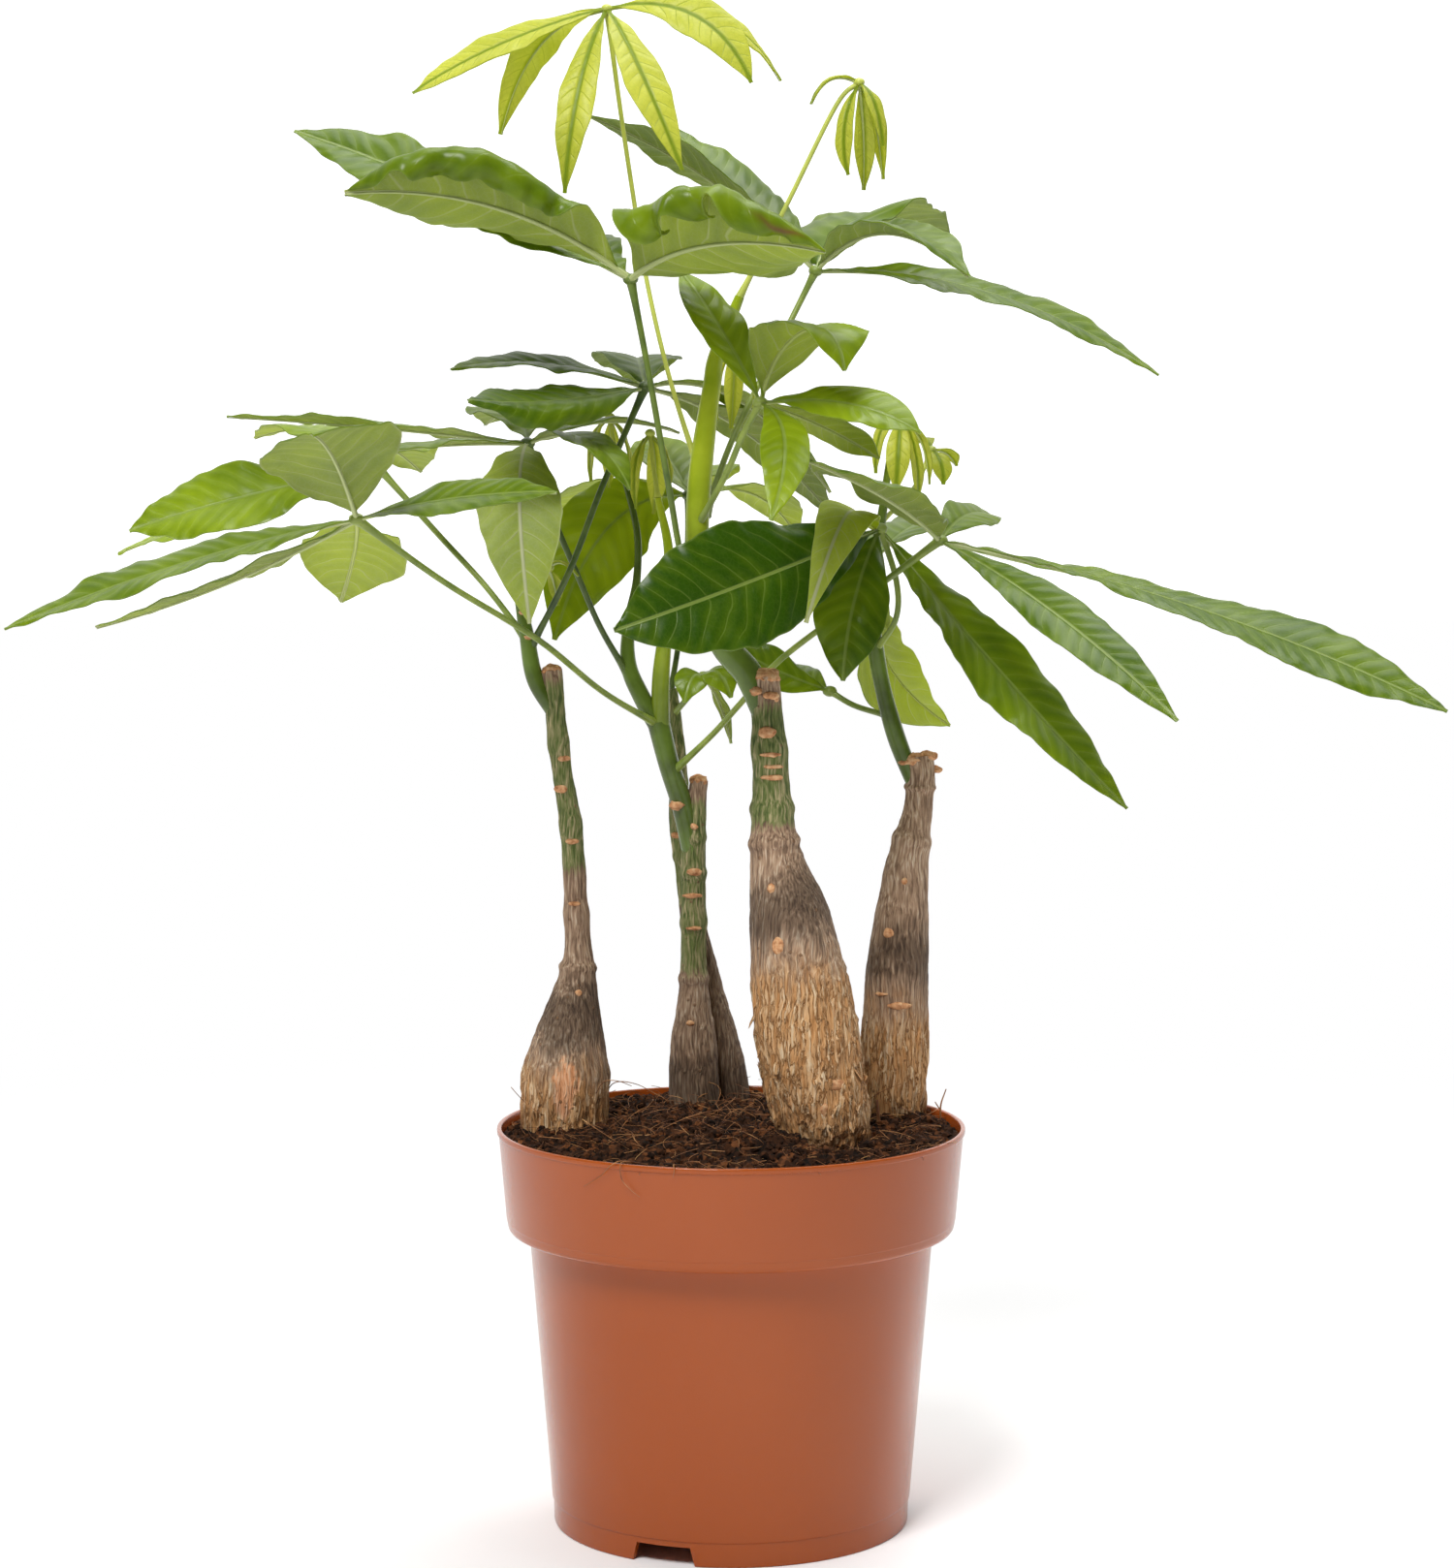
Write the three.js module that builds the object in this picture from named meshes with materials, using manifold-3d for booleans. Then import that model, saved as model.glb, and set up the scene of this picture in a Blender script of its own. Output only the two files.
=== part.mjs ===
// Potted money tree: five young trunks with swollen bases stand in compost in
// a round plastic pot, and carry hand-shaped leaves on long stalks.
// Millimetres, +Z up. The origin is the middle of the surface the pot stands on,
// and the side seen in the photograph faces -Y.

import * as THREE from 'three';
import { mergeVertices } from 'three/addons/utils/BufferGeometryUtils.js';
import Module from 'manifold-3d';

// ---- driving dimensions -------------------------------------------------

const GAP = 0.3; // clearance between pieces that touch
const POT_HEIGHT = 145;
const RIM_RADIUS = 85;
const COLLAR_FOOT_RADIUS = 81.3;
const COLLAR_FOOT_Z = 107.6;
const WALL_TOP_RADIUS = 73.5;
const WALL_FOOT_RADIUS = 65.4;
const FOOT_RADIUS = 64.7;
const FOOT_STEP_Z = 9;
const FOOT_RECESS = 7; // the floor is raised by this much
const FOOT_RING = 2.5; // width of the ring that the pot stands on
const WALL = 1.6;
const FOOT_EDGE = 0.6; // rounding of the foot ring's outer edge
const STEP_EDGE = 0.5; // rounding between the foot and the wall
const COLLAR_EDGE = 1.5; // rounding of the collar's lower edge
const RIM_BEAD = 0.5; // the rim's bead stands out by this much
const POT_SIDES = 40;
const NOTCHES = 3; // drain notches through the foot ring
const NOTCH_WIDTH = 22;
const NOTCH_LEAN = 1.7; // each side of a notch leans in by this much, up and down
const NOTCH_HEIGHT = 6.8;
const NOTCH_REACH = 8; // how far a notch cuts in from the foot's outer edge
const NOTCH_TURN = -21.8; // degrees from the front to the first notch

const SOIL_Z = 142; // level of the compost at the rim
const SOIL_MOUND = 4; // rise towards the middle
const SOIL_LUMPS = 1.1; // height of the crumbs on top
const SOIL_EDGE = 0.45; // clearance to the pot at the surface
const SOIL_SECTORS = 30;
const SOIL_RINGS = 6;

const TRUNK_SIDES = 10;
const SHOOT_SIDES = 7;
const SCAR_RISE = 0.14; // a leaf scar's ring, as a share of the trunk's radius
const SCAR_LENGTH = 0.012; // half of the ring, as a share of the trunk's length
const UNEVEN = 0.05; // swelling of the woody trunk from round, as a share

const BLADE = 0.8; // thickness of a leaflet
const CREASE = 14; // degrees by which each half of a blade rises from the midrib
const CURL = 20; // degrees by which an edge turns down where cup doesn't say
const WAVE = 0.035; // height of the wave along the edges, as a share of the width
const WAVES = 2.2; // waves along a leaflet
const BLADE_START = 0.04; // share of the midrib that is a bare stalk
const LEAST_HALF = 0.7; // half width of that stalk and of the tip
const STALK_RADIUS = 1.1; // leaf stalk at its thinnest
const STALK_BASE = 0.9; // extra share of the radius at the stem
const STALK_NECK = 0.7; // extra share of the radius at the hub
const SWELLING = 0.05; // length of both, as a share of the stalk
const HUB_RADIUS = 2.9; // knob where the leaflets meet
const YOUNG_SIZE = 0.75; // thickness of a young leaf's stalk and hub
const STATIONS = [0, 0.12, 0.3, 0.5, 0.7, 0.87, 1]; // along a leaflet
const FEW_STATIONS = [0, 0.25, 0.6, 1]; // along a narrow young one
const NARROW = 13; // leaflets under this width are the narrow ones

const DEG = Math.PI / 180;
const UP = new THREE.Vector3(0, 0, 1);
const STEEP = 0.05; // a direction this close to upright has no sideways vector

const finish = {
  pot: { color: 0xa65f3e, roughness: 0.42, metalness: 0 },
  compost: { color: 0x33241a, roughness: 1, metalness: 0 },
  bark: { color: 0x7a6550, roughness: 0.9, metalness: 0 },
  leaf: { color: 0x4a8a2b, roughness: 0.5, metalness: 0 },
  young: { color: 0xa9c832, roughness: 0.5, metalness: 0 },
};

// ---- the five trunks ----------------------------------------------------
// Each run is a list of [x, y, z, radius] along its middle; the first run of a
// trunk is the woody stem, the others are the green shoots that grow from it.
// `rings` are the shares of the first run's length where old leaves have left
// a raised scar.

const trunks = {
  trunk_left: {
    rings: [0.62, 0.72, 0.81, 0.92],
    runs: [
      [[-57, 8, 112, 5], [-58, 8, 121, 11], [-60, 8, 133, 14.6], [-61, 8, 147, 15.2],
        [-60, 8, 165, 15.3], [-58, 8, 183, 10.8], [-56, 8, 199, 6.6], [-56, 8, 215, 4.5],
        [-58, 8, 251, 3.9], [-62, 8, 278, 3.6], [-65, 8, 310, 3.7]],
      [[-64, 8, 295, 3.2], [-71, 8, 307, 3.2], [-74, 8, 323, 2.7], [-77, 8, 338, 1.6]],
    ],
  },
  trunk_middle: {
    rings: [0.6, 0.7, 0.79, 0.88],
    runs: [
      [[-13, 46, 106, 4], [-14, 47, 118, 7.5], [-14, 47, 140, 9.4], [-14, 47, 166, 8.8],
        [-14, 47, 181, 6.4], [-14, 47, 196, 4.9], [-14, 46, 225, 4.5], [-14, 45, 245, 4.4],
        [-12, 44, 267, 3.2]],
      [[-14, 45, 238, 3.8], [-18, 43, 257, 4], [-23, 40, 273, 3.9], [-27, 40, 289, 4.2]],
      [[-25, 40, 283, 3.2], [-33, 40, 298, 3.3], [-38, 42, 310, 3], [-38, 44, 325, 2.2],
        [-35, 45, 342, 1.5], [-35, 45, 360, 1.3], [-40, 47, 381, 1.1]],
      [[-26, 40, 283, 3.4], [-26, 38, 305, 3.3], [-24, 36, 327, 2.4], [-23, 36, 352, 1.8],
        [-27, 38, 372, 1.3]],
    ],
  },
  trunk_rear: {
    rings: [0.7, 0.85],
    runs: [
      [[0, 63, 106, 4], [-1, 64, 118, 7.5], [-2, 64, 145, 9], [-5, 64, 164, 8.4],
        [-9, 64, 183, 6.8], [-14, 64, 209, 4.9], [-17, 64, 231, 4], [-20, 64, 250, 3.5],
        [-20, 64, 272, 3.3], [-23, 64, 300, 2.8]],
    ],
  },
  trunk_front: {
    rings: [0.8, 0.86, 0.935],
    runs: [
      [[34, -24, 100, 5], [35, -24, 112, 10], [36, -24, 127, 11.2], [36, -24, 138, 12.6],
        [33, -24, 150, 16.4], [29, -24, 168, 17.4], [26, -24, 188, 17.6], [21, -23, 222, 14.6],
        [17, -22, 240, 10.4], [15, -22, 254, 7.9], [14, -21, 275, 6.3], [12, -20, 309, 5]],
      [[12, -20, 296, 4.6], [6, -19, 310, 5.1], [-3, -18, 321, 4.9], [-10, -17, 339, 4.3],
        [-12, -16, 356, 4.1], [-11, -14, 380, 4.2], [-7, -12, 411, 3.2], [-5, -12, 423, 2.8],
        [3, -12, 443, 1.7]],
    ],
  },
  trunk_right: {
    rings: [0.72, 0.86],
    runs: [
      [[57, 31, 112, 4.5], [58, 31, 121, 9], [59, 32, 135, 11.8], [60, 32, 149, 12.3],
        [61, 32, 176, 11.9], [62, 32, 200, 11.4], [65, 32, 234, 8.2], [69, 32, 256, 5.4],
        [70, 32, 268, 5.4], [69, 32, 277, 5.8]],
      [[69, 32, 264, 3], [61, 30, 284, 3.4], [56, 29, 302, 3], [53, 28, 318, 3],
        [51, 28, 334, 2.7], [52, 29, 349, 2.2], [55, 30, 363, 1.8], [58, 30, 386, 1.2]],
    ],
  },
};

// ---- the leaves ---------------------------------------------------------
// stalk: points from the middle of the stem to the hub.
// leaflets: tip and mid are measured from the hub to the pointed end and to
// the middle of the midrib; fold is the second-last point where a leaflet
// bends over. width is across the widest place, which lies at the share
// widest of the length. roll turns the blade about its midrib in degrees,
// positive lifting its right edge as seen from the hub, and twist adds to it
// towards the tip; cup curls the edges, left and right.

const leaves = {
  leaf_top: {
    trunk: 'trunk_front', young: true,
    stalk: [[-11, -14, 380], [-22, -6, 415], [-30, -2, 449], [-35, 2, 480], [-40, 1, 514],
      [-44, 0, 545]],
    leaflets: [
      { mid: [-36, -6, -13], tip: [-68, -12, -31], width: 18, roll: 32 },
      { mid: [-25, 22, -10], tip: [-40, 32, -41], width: 17, roll: -10 },
      { mid: [-9, -20, -30], tip: [-14, -26, -67], width: 13, roll: 10 },
      { mid: [12, -24, -24], tip: [27, -36, -60], width: 16 },
      { mid: [31, -10, -4], tip: [51, -18, -28], width: 19, roll: -48 },
      { mid: [37, 20, 0], tip: [62, 30, -22], width: 16, roll: -35 },
    ],
  },
  leaf_upper_left: {
    trunk: 'trunk_front',
    stalk: [[-5, -18, 325], [-16, -26, 346], [-22, -30, 377], [-29, -32, 417], [-35, -30, 448]],
    leaflets: [
      { mid: [-45, -20, 23], tip: [-96, -30, 27], width: 48, roll: -46, cup: [-15, 35] },
      { mid: [-62, 14, 31], tip: [-119, 20, 53], width: 36, roll: 30, twist: 6 },
      { mid: [28, -42, 9], tip: [66, -66, 5], width: 54, roll: 48, cup: [30, -15], widest: 0.48 },
      { mid: [-23, 48, 17], tip: [-43, 92, 28], width: 34 },
    ],
  },
  leaf_upper_right: {
    trunk: 'trunk_front',
    stalk: [[-9, -13, 366], [-2, 4, 387], [6, 18, 405], [22, 32, 437], [31, 35, 455]],
    leaflets: [
      { mid: [-40, 3, 34], tip: [-84, 8, 57], width: 26, roll: -20 },
      { mid: [-26, 30, 30], tip: [-56, 56, 58], width: 32 },
      { mid: [64, 3, -8], tip: [126, -1, -38], width: 30, roll: -20 },
      { mid: [20, 34, 22], tip: [54, 64, 16], width: 54, roll: 14, widest: 0.45 },
      { mid: [25, -24, 12], tip: [53, -44, -5], width: 36, roll: 10, cup: [30, -30] },
    ],
  },
  leaf_front: {
    trunk: 'trunk_front',
    stalk: [[-12, -16, 362], [-2, -33, 380], [4, -42, 394], [10, -45, 405]],
    leaflets: [
      { mid: [-14, 6, 26], tip: [-28, 17, 46], width: 21, roll: 36 },
      { mid: [8, 0, 19], fold: [20, -14, 25], tip: [28, -26, 10], width: 42, roll: 108 },
      { mid: [30, -16, -1], tip: [54, -24, -11], width: 24, roll: -28 },
      { mid: [22, 12, -8], tip: [42, 22, -19], width: 20, roll: 20 },
      { mid: [8, -28, -14], tip: [3, -50, -40], width: 17, roll: -8 },
    ],
  },
  leaf_bud_top: {
    trunk: 'trunk_front', young: true,
    stalk: [[3, -12, 443], [20, -12, 476], [37, -10, 510], [45, -10, 518]],
    leaflets: [
      { mid: [-10, -2, 1], tip: [-17, -4, -8], width: 7 },
      { mid: [-5, -6, -16], tip: [-4, -8, -33], width: 8 },
      { mid: [2, 5, -18], tip: [2, 7, -37], width: 8 },
      { mid: [6, 6, -12], tip: [9, 9, -33], width: 8 },
      { mid: [5, -6, -8], tip: [8, -9, -23], width: 7 },
    ],
  },
  leaf_far_right: {
    trunk: 'trunk_middle',
    stalk: [[-22, 40, 270], [-7, 28, 285], [4, 16, 298], [18, 6, 314], [44, 0, 334], [75, 0, 357]],
    leaflets: [
      { mid: [-21, -40, 15], tip: [-50, -75, 28], width: 42, roll: 16 },
      { mid: [12, 24, 9], tip: [24, 46, 7], width: 19, roll: -25 },
      { mid: [90, -28, -24], tip: [171, -58, -58], width: 30, roll: -4, twist: -34, widest: 0.68 },
      { mid: [54, 22, -13], tip: [92, 36, -20], width: 26, roll: -10 },
      { mid: [39, -42, -26], tip: [76, -76, -60], width: 24, roll: -8 },
    ],
  },
  leaf_low_right: {
    trunk: 'trunk_right',
    stalk: [[53, 28, 316], [60, 18, 328], [60, 14, 342], [54, 12, 361]],
    leaflets: [
      { mid: [-48, -54, -18], tip: [-94, -76, -34], width: 45, roll: 60 },
      { mid: [41, -8, -49], tip: [88, -20, -100], width: 33, roll: -35 },
      { mid: [-10, -18, -26], tip: [-14, -22, -54], width: 26, roll: 20 },
      { mid: [-8, -18, 5], fold: [-15, -44, 3], tip: [-28, -56, -32], width: 24, roll: 8 },
    ],
  },
  leaf_back_right: {
    trunk: 'trunk_right',
    stalk: [[51, 28, 336], [53, 42, 344], [54, 52, 350]],
    leaflets: [
      { mid: [3, 6, -36], tip: [29, 14, -64], width: 43, roll: 5 },
      { mid: [-6, 10, -22], tip: [-14, 16, -42], width: 28 },
      { mid: [18, 34, 12], tip: [32, 66, 10], width: 30 },
      { mid: [-6, 36, 8], tip: [-8, 70, -2], width: 32 },
    ],
  },
  leaf_far_left: {
    trunk: 'trunk_middle',
    stalk: [[-27, 40, 288], [-47, 14, 302], [-69, -12, 322], [-100, -38, 343], [-128, -60, 365]],
    leaflets: [
      { mid: [-4, -32, 20], tip: [-8, -62, 28], width: 48, roll: -14 },
      { mid: [-58, -8, -15], tip: [-118, -14, -37], width: 28, roll: 18 },
      { mid: [-46, 12, -22], tip: [-94, 26, -38], width: 27 },
      { mid: [-4, 30, -12], tip: [-12, 58, -30], width: 38, roll: -6 },
      { mid: [35, -20, 7], tip: [70, -32, 9], width: 24, roll: -30 },
    ],
  },
  leaf_left_behind: {
    trunk: 'trunk_left',
    stalk: [[-74, 8, 321], [-89, 14, 340], [-107, 22, 359], [-129, 28, 383]],
    leaflets: [
      { mid: [-50, -3, -11], tip: [-90, -9, -23], width: 37, roll: 40 },
      { mid: [-58, 28, -16], tip: [-104, 48, -32], width: 30, roll: 20 },
      { mid: [-1, 44, 8], tip: [8, 86, -1], width: 36 },
      { mid: [-26, 40, 14], tip: [-55, 74, 12], width: 33 },
    ],
  },
  leaf_inner_left: {
    trunk: 'trunk_middle',
    stalk: [[-38, 42, 306], [-48, 34, 324], [-56, 28, 343], [-66, 22, 368], [-74, 20, 392]],
    leaflets: [
      { mid: [-56, 14, 6], tip: [-112, 20, 10], width: 29, roll: -6 },
      { mid: [-29, -26, -1], tip: [-58, -46, -5], width: 28 },
      { mid: [-7, 35, 12], tip: [-20, 72, 8], width: 32 },
      { mid: [-1, -34, -20], tip: [3, -46, -64], width: 30, roll: 6 },
      { mid: [22, -22, 1], tip: [38, -34, -17], width: 22 },
      { mid: [27, 12, 8], tip: [55, 20, 4], width: 22 },
    ],
  },
  leaf_middle_rear: {
    trunk: 'trunk_left',
    stalk: [[-73, 8, 317], [-58, -1, 346], [-46, 4, 377], [-31, 12, 412]],
    leaflets: [
      { mid: [-36, -6, 8], tip: [-69, -14, 6], width: 28, roll: 12 },
      { mid: [-32, -32, -6], tip: [-60, -54, -6], width: 33, roll: 14, cup: [-50, -20] },
      { mid: [34, 26, -4], tip: [68, 38, -38], width: 24 },
      { mid: [36, 46, -15], tip: [70, 66, -47], width: 32 },
      { mid: [-4, 44, 12], tip: [-4, 84, 2], width: 34 },
    ],
  },
  leaf_rear: {
    trunk: 'trunk_rear',
    stalk: [[-23, 64, 298], [-20, 67, 316], [-17, 71, 342], [-16, 74, 373]],
    leaflets: [
      { mid: [-30, -10, -12], tip: [-50, -22, -54], width: 36, roll: 62 },
      { mid: [-8, 24, 14], tip: [-18, 42, 22], width: 27 },
      { mid: [4, 26, 10], tip: [8, 48, 2], width: 30 },
      { mid: [24, 26, 1], tip: [42, 48, -16], width: 30 },
      { mid: [-34, 26, 2], tip: [-62, 46, -16], width: 34 },
    ],
  },
  leaf_small_low: {
    trunk: 'trunk_right',
    stalk: [[58, 29, 292], [46, 42, 295], [37, 48, 300]],
    leaflets: [
      { mid: [-20, -6, 8], tip: [-36, -12, 17], width: 20, roll: 48 },
      { mid: [-12, 16, 5], tip: [-22, 32, 5], width: 16, roll: 20 },
    ],
  },
  leaf_curled_low: {
    trunk: 'trunk_rear',
    stalk: [[-22, 64, 290], [-14, 50, 300], [-10, 36, 306]],
    leaflets: [
      { mid: [5, -8, 2], tip: [10, -13, -7], width: 14, roll: -20 },
      { mid: [-4, -6, 0], tip: [-7, -10, -9], width: 13, roll: 20 },
      { mid: [6, 3, -10], tip: [10, 4, -25], width: 9 },
    ],
  },
  leaf_young_left: {
    trunk: 'trunk_middle', young: true,
    stalk: [[-40, 47, 381], [-44, 52, 394], [-45, 54, 402]],
    leaflets: [
      { mid: [-6, -3, -8], tip: [-7, -4, -24], width: 7 },
      { mid: [0, 6, -11], tip: [-1, 8, -26], width: 7 },
      { mid: [6, -1, -9], tip: [7, -3, -22], width: 7 },
    ],
  },
  leaf_young_middle: {
    trunk: 'trunk_middle', young: true,
    stalk: [[-27, 38, 372], [-29, 44, 386], [-30, 48, 396]],
    leaflets: [
      { mid: [-5, -4, -11], tip: [-5, -5, -28], width: 7 },
      { mid: [2, 6, -13], tip: [1, 8, -30], width: 8 },
      { mid: [6, -2, -9], tip: [7, -3, -22], width: 7 },
    ],
  },
  leaf_young_stem: {
    trunk: 'trunk_front', young: true,
    stalk: [[-5, -12, 421], [-1, -4, 426], [1, 0, 427]],
    leaflets: [
      { mid: [-5, -3, -8], tip: [-6, -4, -27], width: 7 },
      { mid: [0, 6, -12], tip: [-1, 8, -30], width: 7 },
      { mid: [6, 1, -10], tip: [7, 1, -24], width: 7 },
    ],
  },
  leaf_young_right: {
    trunk: 'trunk_right', young: true,
    stalk: [[58, 30, 386], [60, 30, 396], [62, 30, 402]],
    leaflets: [
      { mid: [-7, -4, -6], tip: [-9, -5, -21], width: 8 },
      { mid: [-1, -8, -12], tip: [-2, -10, -28], width: 9 },
      { mid: [5, -4, -13], tip: [6, -7, -31], width: 9 },
      { mid: [8, 2, -9], tip: [11, 2, -25], width: 9 },
    ],
  },
  leaf_young_back: {
    trunk: 'trunk_right', young: true,
    stalk: [[55, 30, 363], [68, 44, 376], [75, 58, 390]],
    leaflets: [
      { mid: [-3, 12, 4], tip: [-6, 25, 1], width: 10 },
      { mid: [6, 5, -1], tip: [10, 8, -6], width: 9 },
      { mid: [3, -6, -5], tip: [4, -9, -13], width: 9 },
    ],
  },
  leaf_young_low: {
    trunk: 'trunk_left', young: true,
    stalk: [[-75, 8, 329], [-71, 9, 340], [-66, 9, 347]],
    leaflets: [
      { mid: [5, -2, 2], tip: [11, -4, -3], width: 6 },
      { mid: [2, 4, -6], tip: [3, 5, -14], width: 6 },
    ],
  },
};

// ---- solids -------------------------------------------------------------

const wasm = await Module();
wasm.setup();

function solid(geometry) {
  const bare = geometry.clone();
  bare.deleteAttribute('normal');
  bare.deleteAttribute('uv');
  const merged = mergeVertices(bare, 1e-5);
  const vertProperties = new Float32Array(merged.attributes.position.array);
  const triVerts = new Uint32Array(merged.index.array);
  return new wasm.Manifold(new wasm.Mesh({ numProp: 3, vertProperties, triVerts }));
}

function surface(body) {
  const mesh = body.getMesh();
  const geometry = new THREE.BufferGeometry();
  const places = new Float32Array(mesh.vertProperties);
  geometry.setAttribute('position', new THREE.BufferAttribute(places, 3));
  geometry.setIndex(new THREE.BufferAttribute(new Uint32Array(mesh.triVerts), 1));
  geometry.computeVertexNormals();
  return geometry;
}

function join(bodies) {
  return bodies.reduce((whole, body) => whole.add(body));
}

function largest(body) {
  const pieces = body.decompose();
  return pieces.reduce((best, piece) => (piece.volume() > best.volume() ? piece : best));
}

function closedGeometry(points, faces) {
  const geometry = new THREE.BufferGeometry().setFromPoints(points);
  geometry.setIndex(faces);
  return geometry;
}

const vector = ([x, y, z]) => new THREE.Vector3(x, y, z);

// Positions, directions and a sideways vector carried along a curve without
// spinning. The first sideways vector lies level.
function carried(curve, shares) {
  const frames = [];
  let side = null;
  for (const share of shares) {
    const at = curve.getPoint(share);
    const ahead = curve.getTangent(share);
    if (side === null) {
      side = new THREE.Vector3().crossVectors(ahead, UP);
      if (side.length() < STEEP) {
        side.set(1, 0, 0);
      }
    }
    side.addScaledVector(ahead, -side.dot(ahead)).normalize();
    const above = new THREE.Vector3().crossVectors(side, ahead);
    frames.push({ at, ahead, side: side.clone(), above });
  }
  return frames;
}

const evenly = (count) => Array.from({ length: count + 1 }, (_, i) => i / count);

// A closed tube with flat ends; radiusAt(share, angle) gives its size.
function tube(curve, shares, sides, radiusAt) {
  const points = [];
  const faces = [];
  const frames = carried(curve, shares);
  frames.forEach((frame, row) => {
    for (let k = 0; k < sides; k += 1) {
      const angle = (2 * Math.PI * k) / sides;
      const radius = radiusAt(shares[row], angle);
      const point = frame.at.clone();
      point.addScaledVector(frame.side, radius * Math.cos(angle));
      point.addScaledVector(frame.above, radius * Math.sin(angle));
      points.push(point);
    }
  });
  for (let row = 0; row < shares.length - 1; row += 1) {
    for (let k = 0; k < sides; k += 1) {
      const a = row * sides + k;
      const b = row * sides + ((k + 1) % sides);
      faces.push(a, a + sides, b + sides, a, b + sides, b);
    }
  }
  const last = (shares.length - 1) * sides;
  points.push(frames[0].at.clone(), frames[frames.length - 1].at.clone());
  const startMiddle = points.length - 2;
  const endMiddle = points.length - 1;
  for (let k = 0; k < sides; k += 1) {
    const next = (k + 1) % sides;
    faces.push(startMiddle, k, next);
    faces.push(endMiddle, last + next, last + k);
  }
  return closedGeometry(points, faces);
}

function smoothCurve(points) {
  return new THREE.CatmullRomCurve3(points.map(vector), false, 'catmullrom', 0.5);
}

// ---- pot and compost ----------------------------------------------------

function turned(profile, sides) {
  const outline = profile.map(([radius, z]) => new THREE.Vector2(radius, z));
  const geometry = new THREE.LatheGeometry(outline, sides);
  geometry.rotateX(Math.PI / 2);
  return geometry;
}

// Inside of the pot, from the floor up to the rim, as [radius, z].
const INSIDE = [
  [WALL_FOOT_RADIUS - WALL, FOOT_RECESS + WALL],
  [WALL_TOP_RADIUS - WALL, COLLAR_FOOT_Z + WALL],
  [COLLAR_FOOT_RADIUS - WALL, COLLAR_FOOT_Z + WALL + 1],
  [RIM_RADIUS - WALL - RIM_BEAD, POT_HEIGHT - 4 * RIM_BEAD],
];

function pot() {
  const foot = FOOT_RADIUS - FOOT_RING;
  const profile = [
    [0, FOOT_RECESS],
    [foot, FOOT_RECESS],
    [foot, 0],
    [FOOT_RADIUS - FOOT_EDGE, 0],
    [FOOT_RADIUS, FOOT_EDGE],
    [WALL_FOOT_RADIUS - STEP_EDGE, FOOT_STEP_Z - STEP_EDGE],
    [WALL_FOOT_RADIUS, FOOT_STEP_Z],
    [WALL_TOP_RADIUS, COLLAR_FOOT_Z],
    [COLLAR_FOOT_RADIUS - COLLAR_EDGE, COLLAR_FOOT_Z],
    [COLLAR_FOOT_RADIUS, COLLAR_FOOT_Z + COLLAR_EDGE],
    [RIM_RADIUS - RIM_BEAD, POT_HEIGHT - 4 * RIM_BEAD],
    [RIM_RADIUS, POT_HEIGHT - 3 * RIM_BEAD],
    [RIM_RADIUS - RIM_BEAD, POT_HEIGHT],
    [RIM_RADIUS - WALL, POT_HEIGHT],
    ...[...INSIDE].reverse(),
    [0, FOOT_RECESS + WALL],
  ];
  let body = solid(turned(profile, POT_SIDES));
  const wide = NOTCH_WIDTH / 2 + NOTCH_LEAN;
  const narrow = NOTCH_WIDTH / 2 - NOTCH_LEAN;
  const shape = new THREE.Shape();
  shape.moveTo(-wide, -1);
  shape.lineTo(wide, -1);
  shape.lineTo(narrow, NOTCH_HEIGHT);
  shape.lineTo(-narrow, NOTCH_HEIGHT);
  shape.closePath();
  for (let k = 0; k < NOTCHES; k += 1) {
    const cutter = new THREE.ExtrudeGeometry(shape, { depth: 2 * NOTCH_REACH, bevelEnabled: false });
    cutter.rotateX(Math.PI / 2);
    cutter.translate(0, -FOOT_RADIUS + NOTCH_REACH, 0);
    cutter.rotateZ((NOTCH_TURN + (360 / NOTCHES) * k) * DEG);
    body = body.subtract(solid(cutter));
  }
  return body;
}

// Height of the compost at a place: a low mound with crumbs on it.
function soilTop(x, y, radius) {
  const away = Math.hypot(x, y) / radius;
  const mound = SOIL_MOUND * (1 - away * away);
  const lumps = Math.sin(x * 0.31 + 1.3) * Math.cos(y * 0.27) + 0.6 * Math.sin(x * 0.73 + y * 0.55);
  return SOIL_Z + mound + SOIL_LUMPS * lumps * (1 - 0.5 * away ** 6);
}

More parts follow.
